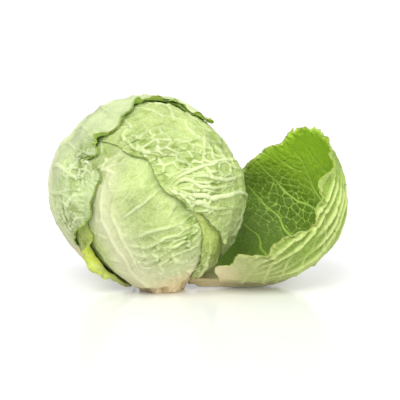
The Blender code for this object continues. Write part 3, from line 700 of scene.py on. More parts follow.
# The leaves of the head, from the innermost to the outermost
HEAD_LEAVES = [
    Leaf(
        "front_leaf",
        (-29, 5),
        [(0, -75, 0), (-80, -64, 0), (-102, -38, 0), (-108, 0, 0), (-100, 38, 0), (-60, 68, 0),
         (20, 78, 0), (50, 52, 0), (56, 22, 0), (60, -10, 0), (68, -38, 0), (72, -62, 0)],
        cell=0.0205,
        detail=260,
        seed=3,
        calm=0.34,
        wrinkled=[(12, -40, 24), (36, -46, 20), (27, -24, 17), (34, -6, 13), (-26, 24, 14)],
        grain=(-62, 2.2),
        soft=0.66,
        lowered=0.95,
        ribs=[
            (1.0, [(0, -66), (-15, -55), (-19, -36), (-24, -24), (-27, -13), (-30, -4), (-30, 5), (-27, 14),
                   (-24, 25), (-18, 45)]),
            (0.8, [(-6, -52), (-12, -34), (-17, -24), (-20, -12), (-22, -4), (-20, 5), (-15, 15), (-6, 30)]),
            (0.7, [(-17, -10), (-9, -3), (1, 4), (13, 13), (24, 22)]),
            (0.4, [(-1, 8), (3, 12), (8, 17), (12, 24)]),
            (0.7, [(-13, -23), (-5, -19), (6, -15), (18, -12), (33, -8), (44, -4)]),
            (0.6, [(12, -9), (17, -3), (20, 4), (24, 8)]),
            (0.8, [(-12, -27), (-2, -27), (6, -24), (12, -19), (21, -18), (32, -17), (44, -16)]),
            (0.7, [(8, -27), (18, -27), (26, -24), (35, -23), (46, -24)]),
            (0.6, [(-10, -33), (-5, -34), (3, -34), (11, -31)]),
            (0.7, [(15, -34), (24, -33), (35, -29), (46, -30)]),
            (0.5, [(-9, -39), (-2, -40), (8, -41)]),
            (0.6, [(13, -41), (20, -38), (31, -40), (42, -36)]),
            (0.5, [(-6, -46), (9, -49), (24, -52), (38, -50)]),
            (0.5, [(-17, 1), (-11, 9), (-5, 19), (1, 26)]),
            (0.5, [(-10, 0), (-6, 6), (-4, 12)]),
            (0.5, [(-41, 27), (-35, 33), (-27, 37)]),
            (0.5, [(-30, -6), (-45, 6), (-60, 14), (-80, 20)]),
            (0.5, [(-27, -24), (-45, -16), (-65, -8), (-85, -2)]),
        ],
    ),
    Leaf(
        "back_leaf",
        (-172, 5),
        [(-175, -75, 0), (-125, -62, 0), (-108, -38, 0), (-104, 0, 0), (-108, 40, 0), (-130, 68, 0),
         (150, 74, 0), (90, 58, 0), (80, 25, 0), (80, -12, 0), (92, -42, 0), (125, -62, 0)],
        cell=0.030,
        detail=190,
        seed=4,
        calm=0.55,
    ),
    Leaf(
        "low_right_leaf",
        (66, -28),
        [(25, 2, 10), (31, -6, 10), (37, -15, 15), (41, -26, 15), (45, -36, 10), (53, -48, 0),
         (66, -62, 0), (95, -76, 0), (112, -58, 0), (114, -28, 0), (102, 2, 0), (70, 14, 0), (44, 12, 0)],
        cell=0.0205,
        detail=150,
        seed=5,
        calm=0.35,
        wrinkled=[(60, -52, 22)],
        ribs=[
            (0.7, [(76, -62), (61, -46), (51, -31), (43, -18), (37, -8)]),
            (0.7, [(88, -60), (80, -46), (66, -30), (56, -18), (50, -6)]),
            (0.6, [(95, -50), (90, -30), (78, -12), (70, 2)]),
        ],
    ),
    Leaf(
        "right_leaf",
        (78, 22),
        [(-44, 41, 0), (-34, 40, 5), (-24, 38, 10), (-13, 32, 15), (-1, 29, 20), (4, 22, 30), (8, 15, 35),
         (12, 9, 25), (19, 5, 20), (25, -1, 15), (32, -5, 15), (40, -10, 15), (49, -17, 20), (56, -25, 25),
         (76, -38, 20), (100, -52, 5), (125, -70, 0), (150, -50, 10), (158, -20, 40), (160, 15, 50),
         (165, 45, 30), (-170, 66, 0), (-80, 66, 0), (-56, 52, 0)],
        cell=0.0195,
        detail=270,
        seed=6,
        calm=0.45,
        wrinkled=[(4, 34, 26), (38, 22, 26), (30, 2, 18), (60, 30, 26)],
        grain=(70, 1.45),
        soft=0.64,
        lowered=0.86,
        fade=0.6,
        lip=0.5,
        crinkled=1.7,
        ruffle=0.0016,
        waves=23,
        ribs=[
            (0.9, [(12, 11), (21, 6), (29, -3), (36, -13)]),
            (0.9, [(15, 11), (27, 7), (39, 5), (54, 4), (64, 4), (84, 0), (104, -12), (122, -30),
                   (134, -50)]),
            (0.8, [(15, 12), (23, 15), (30, 13), (39, 9), (49, 9), (63, 9)]),
            (0.7, [(23, 17), (34, 17), (47, 13), (63, 13), (82, 12), (100, 4)]),
            (0.9, [(15, 14), (24, 19), (34, 22), (49, 24), (68, 23), (92, 20), (116, 6)]),
            (0.7, [(24, 28), (28, 24), (35, 22)]),
            (0.7, [(52, 42), (44, 33), (36, 24)]),
            (0.6, [(18, 32), (23, 38), (36, 39), (52, 42), (70, 38), (96, 38), (124, 26)]),
            (0.6, [(-15, 50), (-4, 54), (11, 58), (30, 58), (43, 55), (70, 56), (110, 52)]),
            (0.7, [(-21, 36), (-8, 42), (3, 47), (18, 52)]),
            (0.7, [(-18, 41), (-8, 36), (2, 33), (9, 31), (16, 31)]),
            (0.6, [(21, 5), (31, 1), (45, -3), (60, -4), (76, -8)]),
            (0.6, [(29, -4), (37, -8), (49, -15)]),
        ],
    ),
    Leaf(
        "low_left_leaf",
        (-92, -24),
        [(-46, -4, 120), (-43, -18, 150), (-41, -30, 150), (-41, -44, 150), (-45, -57, 120), (-54, -70, 60),
         (-96, -82, 0), (-140, -64, 0), (-160, -38, 60), (-156, -8, 60), (-130, 16, 0), (-90, 22, 0),
         (-60, 10, 0)],
        cell=0.0215,
        detail=170,
        seed=7,
        calm=0.6,
        lip=0.6,
        crinkled=2.8,
        ruffle=0.002,
        waves=29,
    ),
    Leaf(
        "left_leaf",
        (-85, 28),
        [(88, 48, 0), (76, 58, 8), (64, 67, 15), (46, 75, 22), (0, 75, 28), (-18, 65, 35), (-20, 56, 40),
         (-23, 49, 30), (-30, 43, 40), (-38, 37, 60), (-32, 31, 40), (-43, 26, 30), (-35, 22, 30),
         (-27, 16, 40), (-31, 9, 50), (-34, 0, 40), (-36, -7, 30), (-44, -15, 25), (-62, -26, 30),
         (-84, -40, 10), (-112, -58, 0), (-128, -70, 0), (-142, -42, 30), (-148, -12, 50), (-150, 20, 60),
         (-165, 46, 50), (150, 60, 40), (112, 52, 20)],
        cell=0.0205,
        detail=264,
        seed=8,
        calm=0.12,
        wrinkled=[(-58, -12, 22), (-46, 22, 16), (-120, -10, 30)],
        lip=1.4,
        crinkled=2.3,
        folds=(-60, -4, 20, 9.0, 0.5),
        ruffle=0.0024,
        waves=23,
        ribs=[
            (0.9, [(-118, -60), (-108, -40), (-100, -15), (-96, 10), (-96, 35), (-110, 60), (-160, 74),
                   (130, 76)]),
            (0.8, [(-104, -20), (-88, -14), (-70, -10), (-52, -8)]),
            (0.8, [(-99, -2), (-84, 2), (-68, 4), (-54, 6), (-44, 8), (-34, 9)]),
            (0.8, [(-97, 12), (-80, 18), (-64, 18), (-52, 16), (-40, 17), (-31, 17)]),
            (0.7, [(-95, 26), (-80, 32), (-66, 32), (-54, 28), (-46, 27)]),
            (0.7, [(-98, 40), (-84, 46), (-66, 46), (-50, 42), (-38, 40)]),
            (0.6, [(-108, 54), (-92, 60), (-66, 60), (-40, 56), (-26, 54)]),
            (0.6, [(-60, 14), (-52, 24), (-42, 30), (-36, 32)]),
            (0.6, [(-54, -3), (-44, 5), (-35, 7)]),
            (0.6, [(-108, -24), (-124, -10), (-138, 0)]),
            (0.6, [(-100, 6), (-118, 18), (-136, 26)]),
            (0.6, [(-98, 34), (-122, 44), (-150, 48)]),
        ],
    ),
]

OPEN_LEAF = Leaf(
    "open_leaf",
    (118, -28),
    [(-77, -47.5, 0), (-71, -48, 0), (-62, -55, 0), (-50, -55, 0), (-41, -46, 0), (-37, -39, 0),
     (-29, -38, 20), (-20, -31, 30), (-12, -32, 10), (0, -33, 0), (5, -26, 0), (9, -20, 0), (16, -18, 15),
     (23, -13, 30), (30, -15, 20), (33, -9, 0), (36, 3, 10), (37, 14, 20), (44, 20, 20), (55, 21, 10),
     (66, 32, 20), (80, 44, 35), (92, 50, 40), (110, 51, 45),
     (128, 52, 20), (146, 47, 0), (155, 38, 0), (169, 31, 10), (179, 24, 10), (-171, 16, 10), (-167, 4, 10),
     (-160, -14, 10), (-148, -29, 0), (-134, -40, 0), (-120, -47, 0), (-105, -51, 0), (-92, -53, 0),
     (-83, -55, 0), (-82, -48.5, 0)],
    cell=0.0205,
    detail=216,
    seed=9,
    stalk_from=0.15,
    fade=0.35,
    calm=0.30,
    wrinkled=[(152, -6, 52)],
    folds=(42, -16, 54, 6.4, 1.0),
    netted=0.36,
    lip=1.0,
    crinkled=1.8,
    ruffle=0.003,
    waves=17,
    base=OPEN_STALK_END,
    ribs=[
        (1.0, [(-77, -53), (-66, -70), (60, -82), (105, -62), (114, -44), (118, -28), (118, -10), (114, 10),
               (108, 30), (100, 46)]),
        (0.8, [(122, -26), (132, -14), (150, -8), (161, -1), (170, 9), (-178, 20)]),
        (0.8, [(122, -12), (134, -1), (140, 11), (144, 23), (150, 32)]),
        (0.6, [(143, 12), (150, 14), (162, 22), (168, 30)]),
        (0.8, [(114, -50), (134, -44), (153, -33), (161, -23), (170, -16), (178, -8), (-174, 0)]),
        (0.8, [(120, -74), (160, -62), (174, -51), (-179, -36), (-173, -31), (-165, -27)]),
        (0.7, [(116, 10), (128, 22), (133, 32), (138, 44)]),
        (0.7, [(-50, -72), (-24, -58), (-10, -48), (-4, -38)]),
        (0.8, [(20, -80), (2, -64), (6, -43), (11, -28)]),
        (0.8, [(80, -76), (26, -68), (20, -52), (20, -38), (25, -22)]),
        (0.8, [(100, -64), (58, -62), (38, -49), (37, -34), (40, -17)]),
        (0.8, [(110, -52), (76, -50), (54, -36), (44, -12), (42, 5)]),
        (0.8, [(114, -40), (90, -38), (66, -28), (57, -9), (54, 10)]),
        (0.8, [(114, -24), (96, -20), (80, -9), (72, 8), (70, 22)]),
        (0.7, [(114, -4), (100, 4), (88, 20), (84, 34)]),
    ],
)


def length(name, description, default):
    """A size in metres."""
    return FloatProperty(name=name, description=description, default=default, unit="LENGTH", precision=5)


def colour(name, description, default):
    """A colour."""
    return FloatVectorProperty(
        name=name, description=description, default=default, subtype="COLOR", min=0, max=1
    )


def angle(name, description, degrees):
    """An angle, given in degrees."""
    return FloatProperty(name=name, description=description, default=math.radians(degrees), unit="ROTATION")


def number(name, description, default):
    """A plain number."""
    return FloatProperty(name=name, description=description, default=default)


class CabbageSizes(bpy.types.PropertyGroup):
    """Sizes of the surface detail."""

    blade: length("Blade", "Thickness of a leaf blade", 0.0011)
    stalk: length("Open leaf's stalk", "Thickness of the open leaf at its stalk end", 0.0065)
    neck_reach: length("Neck", "How far the open leaf's neck runs into the stump", 0.0030)
    rib_relief: length("Rib height", "Height of the ribs above the blade", 0.0038)
    rib_width: length("Rib width", "Half the width of a rib", 0.0014)
    net_width: length("Net width", "Half the width of the net's ridges", 0.0011)
    small_cell: length("Small cells", "Width of the cells of the small net", 0.0085)
    small_width: length("Small net width", "Half the width of the small net's ridges", 0.0009)
    fine_cell: length("Fine cells", "Width of the cells of the fine veins", 0.0038)
    # The pits are real dents; the material darkens them with painted shade.
    pit_width: length("Pit width", "Width of the dark dents in the wrinkles", 0.0050)
    pit_depth: length("Pit depth", "Their depth", 0.0014)
    crumple: length("Crumple", "Height of the soft dents all over", 0.0009)
    crinkle: length("Crinkle", "Height of the small waves along free margins", 0.0014)
    ragged: length("Ragged margin", "Depth of the margins' small notches", 0.0014)
    net_share: number("Net share", "Height of the net against the ribs", 0.75)
    small_share: number("Small net share", "Its height against the ribs", 0.62)


class CabbageColours(bpy.types.PropertyGroup):
    """Colours of the leaves and the stump."""

    rib: colour("Rib", "Ribs and net of the head's leaves", (0.68, 0.76, 0.44))
    base: colour("Base", "Leaf bases and the broad midrib", (0.65, 0.66, 0.42))
    neck: colour("Neck", "The open leaf's neck, where it joins the stump", (0.62, 0.56, 0.34))
    # Painted shade: dark green laid into the hollows between the ridges and into the pits of the wrinkles.
    painted_pit_shade: colour("Pit", "Deep places of the wrinkles", (0.19, 0.29, 0.030))
    front: colour("Front leaf", "Tissue of the front leaf", (0.48, 0.58, 0.22))
    back: colour("Back leaf", "Tissue of the back leaf", (0.36, 0.50, 0.14))
    low_right: colour("Low right leaf", "Tissue of the low right leaf", (0.42, 0.50, 0.12))
    right: colour("Right leaf", "Tissue of the right leaf", (0.47, 0.57, 0.21))
    low_left: colour("Low left leaf", "Tissue of the low left leaf", (0.46, 0.56, 0.10))
    low_left_inner: colour("Low left leaf, inside", "Inner face of its rolled margin", (0.62, 0.70, 0.07))
    left: colour("Left leaf", "Tissue of the left leaf", (0.54, 0.63, 0.33))
    margin: colour("Margin", "Margins of the head's leaves", (0.27, 0.40, 0.05))
    dry: colour("Dry edge", "The dried edge of a margin", (0.30, 0.22, 0.06))
    inner: colour("Inside", "Inner face of the head's leaves", (0.34, 0.50, 0.09))
    open_outer: colour("Open leaf, outside", "Outer face of the open leaf", (0.21, 0.32, 0.038))
    open_margin: colour("Open leaf, margin", "Its margin", (0.60, 0.70, 0.22))
    open_rib: colour("Open leaf, ribs", "Ribs on its outer face", (0.51, 0.61, 0.21))
    open_base: colour("Open leaf, stalk", "Its thick stalk end", (0.58, 0.56, 0.30))
    open_inner: colour("Open leaf, inside", "Inner face of the open leaf", (0.100, 0.175, 0.012))
    # Painted light: the open leaf's inner face made lighter and yellower towards its tip.
    open_tip_painted_light: colour("Open leaf, tip", "Inner face near its tip", (0.52, 0.84, 0.050))
    open_vein: colour("Open leaf, veins", "Veins on its inner face", (0.40, 0.60, 0.10))
    stump: colour("Stump", "Skin of the stump", (0.72, 0.60, 0.35))
    scar: colour("Scars", "Dry edges and leaf scars of the stump", (0.45, 0.31, 0.13))
    heart: colour("Heart", "The tight inner leaves", (0.70, 0.76, 0.42))


class CabbageStage(bpy.types.PropertyGroup):
    """Camera, lights and floor."""

    distance: length("Camera distance", "From the camera to its aim", 1.064)
    elevation: angle("Camera height", "Its angle above the floor", 8.0)
    aim: FloatVectorProperty(
        name="Aim",
        description="The point in the picture's middle",
        default=(0.0369, 0.0, 0.0870),
        subtype="XYZ",
        unit="LENGTH",
    )
    lens: number("Lens", "Focal length in millimetres", 100.0)
    key: number("Key light", "Strength of the soft light at the upper left", 2.15)
    key_spread: angle("Key spread", "Its apparent size", 34.0)
    fill: number("Fill light", "Strength of the soft light at the right", 1.35)
    fill_spread: angle("Fill spread", "Its apparent size", 60.0)
    sky: number("Surround", "Light from the white surround", 0.56)
    backdrop: number("Backdrop", "Brightness of the surround as the camera sees it", 1.1)
    floor: colour("Floor", "The studio floor", (0.95, 0.95, 0.95))
    glow: number("Floor glow", "How far the floor is lit from within", 0.05)


def tinted(colour, share):
    """The colour times a share, with no part of it above 1."""
    return tuple(min(1.0, share * part) for part in colour[:3])


class Nodes:
    """Short calls that add and join the nodes of one material."""

    def __init__(self, name):
        self.material = bpy.data.materials.new(name)
        self.material.use_nodes = True
        self.tree = self.material.node_tree
        self.shader = self.tree.nodes["Principled BSDF"]

    def add(self, kind, **settings):
        """A node with the given settings."""
        node = self.tree.nodes.new(kind)
        for key, value in settings.items():
            setattr(node, key, value)
        return node

    def put(self, value, socket):
        """A value or another node's output into a socket."""
        if isinstance(value, bpy.types.NodeSocket):
            self.tree.links.new(value, socket)
        else:
            socket.default_value = value
        return socket

    def fact(self, name):
        """What the mesh knows of itself: the named attribute."""
        return self.add("ShaderNodeAttribute", attribute_name=name).outputs["Fac"]

    def sum(self, kind, a, b, clamp=False):
        """The given sum of two values."""
        node = self.add("ShaderNodeMath", operation=kind, use_clamp=clamp)
        self.put(a, node.inputs[0])
        self.put(b, node.inputs[1])
        return node.outputs[0]

    def times(self, a, b):
        """One value times the other."""
        return self.sum("MULTIPLY", a, b)

    def plus(self, a, b, clamp=False):
        """One value and the other."""
        return self.sum("ADD", a, b, clamp)

    def larger(self, a, b):
        """The larger of two values."""
        return self.sum("MAXIMUM", a, b)

    def rest(self, value):
        """What is missing to 1."""
        return self.sum("SUBTRACT", 1.0, value)

    def mix(self, share, a, b):
        """A mix of two colours."""
        node = self.add("ShaderNodeMix", data_type="RGBA")
        self.put(share, node.inputs[0])
        for value, socket in ((a, node.inputs[6]), (b, node.inputs[7])):
            self.put(value if isinstance(value, bpy.types.NodeSocket) else (*value[:3], 1.0), socket)
        return node.outputs[2]

    def noise(self, vector, scale, detail):
        """Soft noise about 0.5."""
        node = self.add("ShaderNodeTexNoise")
        node.inputs["Scale"].default_value = scale
        node.inputs["Detail"].default_value = detail
        self.put(vector, node.inputs["Vector"])
        return node.outputs["Fac"]

    def ramp(self, value, low, high):
        """0 below low and 1 above high."""
        node = self.add("ShaderNodeMapRange")
        self.put(value, node.inputs["Value"])
        node.inputs["From Min"].default_value = low
        node.inputs["From Max"].default_value = high
        return node.outputs["Result"]

    def bump(self, height, distance, strength):
        """A bump into the shader."""
        node = self.add("ShaderNodeBump")
        node.inputs["Strength"].default_value = strength
        node.inputs["Distance"].default_value = distance
        self.put(height, node.inputs["Height"])
        self.put(node.outputs[0], self.shader.inputs["Normal"])


def leaf_material(name, tissue, rib, base, margin, inner, inner_rib, inner_tip_painted_light, base_share, rim_share):
    """Leaf skin: mottled tissue with pale ribs, net and fine veins, painted shade in the hollows and pits of
    the wrinkles, a whitish base, a coloured margin with a dried edge, and an inner face of its own colour,
    with painted light towards the tip. A soft waxy shine, and a little light goes through.

    Each step mixes one colour over the last by a share between 0 and 1, which is a fact that the mesh
    carries, or a product of such facts and soft noise.
    """
    n = Nodes(name)
    colours = bpy.context.scene.cabbage_colours
    place = n.add("ShaderNodeTexCoord").outputs["Object"]
    patches = n.noise(place, *LEAF_PATCHES)
    specks = n.noise(place, *LEAF_SPECKS)
    ribs, net = n.larger(n.fact("rib"), n.fact("fold")), n.fact("net")
    cells = n.add("ShaderNodeTexVoronoi", feature="DISTANCE_TO_EDGE")
    chart = n.add("ShaderNodeAttribute", attribute_name="chart").outputs["Vector"]
    wobble = n.add("ShaderNodeTexNoise")
    n.put(chart, wobble.inputs["Vector"])
    wobble.inputs["Scale"].default_value = VEIN_WOBBLE
    shifted = n.add("ShaderNodeVectorMath", operation="MULTIPLY_ADD")
    n.put(wobble.outputs["Color"], shifted.inputs[0])
    shifted.inputs[1].default_value = VEIN_SHIFT
    n.put(chart, shifted.inputs[2])
    n.put(shifted.outputs[0], cells.inputs["Vector"])
    cells.inputs["Scale"].default_value = 1.0 / bpy.context.scene.cabbage_sizes.fine_cell
    fine = n.rest(n.ramp(cells.outputs["Distance"], 0.0, 0.16))
    raised = n.larger(ribs, n.times(net, 0.9))
    colour_lift = n.larger(n.ramp(raised, 0.25, 0.85), n.times(fine, 0.30))
    mottled = n.ramp(patches, 0.36, 0.66)
    outer = n.mix(mottled, tinted(tissue, 0.80), tinted(tissue, 1.16))
    # Painted shade: where the blade is wrinkled, the hollows between the ridges are mixed towards the shade
    # colour.
    painted_hollow_shade = n.times(n.rest(n.ramp(raised, 0.12, 0.45)), n.fact("rough"))
    outer = n.mix(n.times(painted_hollow_shade, 0.54), outer, colours.painted_pit_shade)
    outer = n.mix(colour_lift, outer, rib)
    # Painted shade: the pits of the wrinkles darkened further.
    outer = n.mix(n.times(n.fact("painted_pit_shade"), 0.80), outer, colours.painted_pit_shade)
    pale = n.times(n.fact("stalk"), base_share)
    pale = n.plus(pale, n.times(n.fact("midrib"), 0.85), clamp=True)
    outer = n.mix(pale, outer, base)
    inside = n.mix(mottled, tinted(inner, 0.78), tinted(inner, 1.2))
    # Painted light: towards the tip the inner face turns to the lighter tip colour.
    inside = n.mix(n.fact("tip"), inside, inner_tip_painted_light)
    vein_lift = n.larger(n.ramp(raised, 0.22, 0.62), n.times(fine, 0.18))
    inside = n.mix(vein_lift, inside, inner_rib)
    inside = n.mix(n.times(n.fact("stalk"), 0.45), inside, inner_rib)
    both = n.mix(n.fact("inner"), outer, inside)
    both = n.mix(n.fact("neck"), both, colours.neck)
    foot = n.times(n.ramp(n.fact("stalk"), 0.80, 1.0), n.ramp(patches, 0.30, 0.60))
    both = n.mix(n.times(foot, base_share), both, colours.stump)
    edge, free = n.fact("edge"), n.fact("free")
    rim = n.times(n.rest(n.ramp(edge, 0.6, 4.5)), free)
    both = n.mix(n.times(rim, rim_share), both, margin)
    dried = n.times(n.rest(n.ramp(edge, 0.2, 1.4)), free)
    dried = n.times(dried, n.ramp(patches, 0.50, 0.62))
    both = n.mix(n.times(dried, rim_share), both, colours.dry)
    n.put(both, n.shader.inputs["Base Color"])
    rough = n.plus(n.times(specks, 0.22), 0.38)
    n.put(rough, n.shader.inputs["Roughness"])
    n.shader.inputs["Specular IOR Level"].default_value = 0.22
    n.shader.inputs["Subsurface Weight"].default_value = 0.08
    n.shader.inputs["Subsurface Radius"].default_value = (0.6, 1.0, 0.25)
    n.shader.inputs["Subsurface Scale"].default_value = 0.002
    small = n.plus(n.times(specks, 0.25), n.times(fine, 0.6))
    n.bump(small, 0.0005, 0.55)
    return n.material


def linked(name, data):
    """A new object of the given data, in the scene."""
    made = bpy.data.objects.new(name, data)
    bpy.context.scene.collection.objects.link(made)
    return made


def keep_fact(mesh, name, values):
    """Keeps a value for each point of the mesh, where its material finds it."""
    mesh.attributes.new(name, "FLOAT", "POINT").data.foreach_set("value", values.astype(np.float32))


def rim_loop(index):
    """The indices round a grid's border, in order."""
    return np.concatenate([index[0, :-1], index[:-1, -1], index[-1, :0:-1], index[:0:-1, 0]])


def grid_quads(index):
    """The quads of a grid of indices."""
    return np.stack([index[:-1, :-1], index[1:, :-1], index[1:, 1:], index[:-1, 1:]], axis=-1).reshape(-1, 4)


def shell_object(leaf, inner, outer, facts, flats):
    """A closed mesh object of an outer face, an inner face with as many cells or fewer, and the rim between
    them: a triangle on each outer edge, and one on each inner edge that joins two such fans."""
    outer_index = np.arange(outer.shape[0] * outer.shape[1]).reshape(outer.shape[:2])
    count = outer_index.size
    inner_index = count + np.arange(inner.shape[0] * inner.shape[1]).reshape(inner.shape[:2])
    middle = outer.shape[0] // 2
    down = outer[middle + 1, middle] - outer[middle, middle]
    along = outer[middle, middle + 1] - outer[middle, middle]
    faces_out = np.cross(down, along) @ leaf.out > 0
    wide, narrow = rim_loop(outer_index), rim_loop(inner_index)
    cells = len(wide) // len(narrow)
    fans = np.stack([wide, np.roll(wide, -1), np.repeat(narrow, cells)], axis=-1)
    links = np.stack([narrow, np.roll(wide, -cells)[::cells], np.roll(narrow, -1)], axis=-1)
    rim = np.concatenate([fans, links])
    quads = np.concatenate([grid_quads(outer_index), grid_quads(inner_index)[:, ::-1]])
    if faces_out:
        rim = rim[:, ::-1]
    else:
        quads = quads[:, ::-1]
    mesh = bpy.data.meshes.new(leaf.name + "_fine")
    points = np.concatenate([outer.reshape(-1, 3), inner.reshape(-1, 3)])
    mesh.from_pydata(points.tolist(), [], quads.tolist() + rim.tolist())
    for key in facts[0]:
        keep_fact(mesh, key, np.concatenate([facts[0][key], facts[1][key]]))
    side = np.concatenate([np.zeros(count), np.ones(inner_index.size)])
    keep_fact(mesh, "inner", side)
    chart = np.column_stack([np.concatenate(flats), side]).astype(np.float32).ravel()
    mesh.attributes.new("chart", "FLOAT_VECTOR", "POINT").data.foreach_set("vector", chart)
    mesh.shade_smooth()
    return linked(leaf.name + "_fine", mesh)


def midrib_fact(leaf, flat, spread):
    """1 on the broad white midrib, falling off to its sides and towards the tip."""
    _, line = leaf.ribs[0]
    distance, _ = segment_distance(flat, line[:-1], line[1:])
    width = spread * (0.35 + smooth_step(-0.7, 1.0, leaf.to_stalk(flat)))
    return np.exp(-((distance / width) ** 2)) * smooth_step(-0.9, 0.2, -flat[:, 0] / leaf.ball)


def make_leaf(leaf, under, over, material, spread, drop_to=None):
    """The fine shell of a leaf, in place of its solid. An inner face that can be seen is as fine as the
    outer one. drop_to is the height down to which the open leaf is let, so that it rests on the floor."""
    sizes = bpy.context.scene.cabbage_sizes
    _, outer, outer_facts, outer_flat = leaf.shell(leaf.detail, sizes, under, over)
    inner_cells = leaf.detail // 2 if leaf.on_head else leaf.detail
    inner, _, inner_facts, inner_flat = leaf.shell(inner_cells, sizes, under, over)
    inner_facts["fold"] = np.zeros(len(inner_flat))
    facts, flats = (outer_facts, inner_facts), (outer_flat, inner_flat)
    for known, flat in zip(facts, flats):
        none = np.zeros(len(flat))
        known["midrib"] = midrib_fact(leaf, flat, spread) if spread else none
        known["neck"] = none if drop_to is None else smooth_step(0.74, 0.90, leaf.to_stalk(flat))
    if drop_to is not None:
        fall = np.array([0.0, 0.0, drop_to - outer[..., 2].min()])
        inner, outer = inner + fall, outer + fall
    made = shell_object(leaf, inner, outer, facts, flats)
    made.data.materials.append(material)
    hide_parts(leaf.name)
    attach(made, "root")


class CABBAGE_OT_head_leaves(bpy.types.Operator):
    """Lay the leaves of the head over each other"""

    bl_idname = "cabbage.head_leaves"
    bl_label = "Head leaves"

    def execute(self, context):
        c = context.scene.cabbage_colours
        # Tissue, share of the pale base, spread of the pale midrib, share of the coloured rim
        looks = {
            "front_leaf": (c.front, 0.80, 0.020, 0.0),
            "back_leaf": (c.back, 0.5, 0.008, 0.3),
            "low_right_leaf": (c.low_right, 0.3, 0.0, 0.10),
            "right_leaf": (c.right, 0.2, 0.0, 0.20),
            "low_left_leaf": (c.low_left, 0.4, 0.006, 0.35),
            "left_leaf": (c.left, 0.5, 0.006, 0.75),
        }
        for place, leaf in enumerate(HEAD_LEAVES):
            tissue, base_share, spread, rim_share = looks[leaf.name]
            inside = c.low_left_inner if leaf.name == "low_left_leaf" else c.inner
            material = leaf_material(
                leaf.name, tissue, c.rib, c.base, c.margin, inside, c.rib, inside, base_share, rim_share
            )
            make_leaf(leaf, HEAD_LEAVES[:place], HEAD_LEAVES[place + 1 :], material, spread)
        return {"FINISHED"}


class CABBAGE_OT_open_leaf(bpy.types.Operator):
    """Add the leaf that is folded open"""

    bl_idname = "cabbage.open_leaf"
    bl_label = "Open leaf"

    def execute(self, context):
        c = context.scene.cabbage_colours
        material = leaf_material(
            "open_leaf", c.open_outer, c.open_rib, c.open_base, c.open_margin, c.open_inner, c.open_vein,
            c.open_tip_painted_light, 0.8, 0.5,
        )
        make_leaf(OPEN_LEAF, [], [], material, 0.012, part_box("open_leaf")[0].z)
        return {"FINISHED"}


class CABBAGE_OT_heart(bpy.types.Operator):
    """Give the heart its colour"""

    bl_idname = "cabbage.heart"
    bl_label = "Heart"

    def execute(self, context):
        n = Nodes("heart")
        c = context.scene.cabbage_colours.heart
        mottle = n.noise(n.add("ShaderNodeTexCoord").outputs["Object"], *HEART_MOTTLE)
        n.put(n.mix(n.ramp(mottle, 0.35, 0.65), tinted(c, 0.85), c), n.shader.inputs["Base Color"])
        n.shader.inputs["Roughness"].default_value = 0.45
        n.bump(mottle, 0.001, 0.4)
        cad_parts["heart"].data.materials.clear()
        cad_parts["heart"].data.materials.append(n.material)
        return {"FINISHED"}


def stump_material():
    """Pale, fibrous skin with brown dry edges and scars."""
    c = bpy.context.scene.cabbage_colours
    n = Nodes("stump")
    place = n.add("ShaderNodeTexCoord").outputs["Object"]
    fibres = n.add("ShaderNodeMapping")
    n.put(place, fibres.inputs["Vector"])
    fibres.inputs["Scale"].default_value = (1.0, 1.0, 0.25)
    grain = n.noise(fibres.outputs["Vector"], *STUMP_GRAIN)
    patches = n.noise(place, *STUMP_PATCHES)
    skin = n.mix(n.ramp(grain, 0.3, 0.7), tinted(c.stump, 0.8), tinted(c.stump, 1.15))
    dry = n.times(n.fact("dry"), n.ramp(patches, 0.35, 0.6))
    n.put(n.mix(dry, skin, c.scar), n.shader.inputs["Base Color"])
    n.shader.inputs["Roughness"].default_value = 0.65
    n.bump(grain, 0.0012, 0.7)
    return n.material


def stump_sides(low, top):
    """The stump's sides between two heights as a grid, and how dry each point is. The radius is a core with a
    flare to the top, seven scars as a wave of the turn, two layers of lumps, and a worn lower edge."""
    turns = np.linspace(-math.pi, math.pi, STUMP_AROUND, endpoint=False)
    turn, rise = np.meshgrid(turns, np.linspace(0.0, 1.0, STUMP_UP), indexing="ij")
    ring = 0.026 * on_circle(turn).reshape(-1, 2)
    lumps = 0.0016 * smooth_noise(ring + rise.reshape(-1, 1) * 0.006, 0.0065, 21)
    lumps = lumps + 0.0008 * smooth_noise(ring - rise.reshape(-1, 1) * 0.009, 0.0024, 22)
    scars = STUMP_SCAR * (np.cos(STUMP_SCARS * turn + 2.0 * rise) - 1.0)
    flare = STUMP_FLARE * smooth_step(0.15, 1.0, rise)
    radius = STUMP_CORE + flare + scars * (1 - 0.6 * rise) + lumps.reshape(turn.shape)
    radius = radius - STUMP_WORN * (1 - smooth_step(0.0, 0.12, rise))
    sides = np.stack([radius * np.cos(turn), radius * np.sin(turn), low + rise * (top - low)], axis=-1)
    scarred = 0.8 * smooth_step(0.7, 1.8, -scars / 0.0011)
    return sides, np.maximum(1 - smooth_step(0.0, 0.22, rise), scarred)


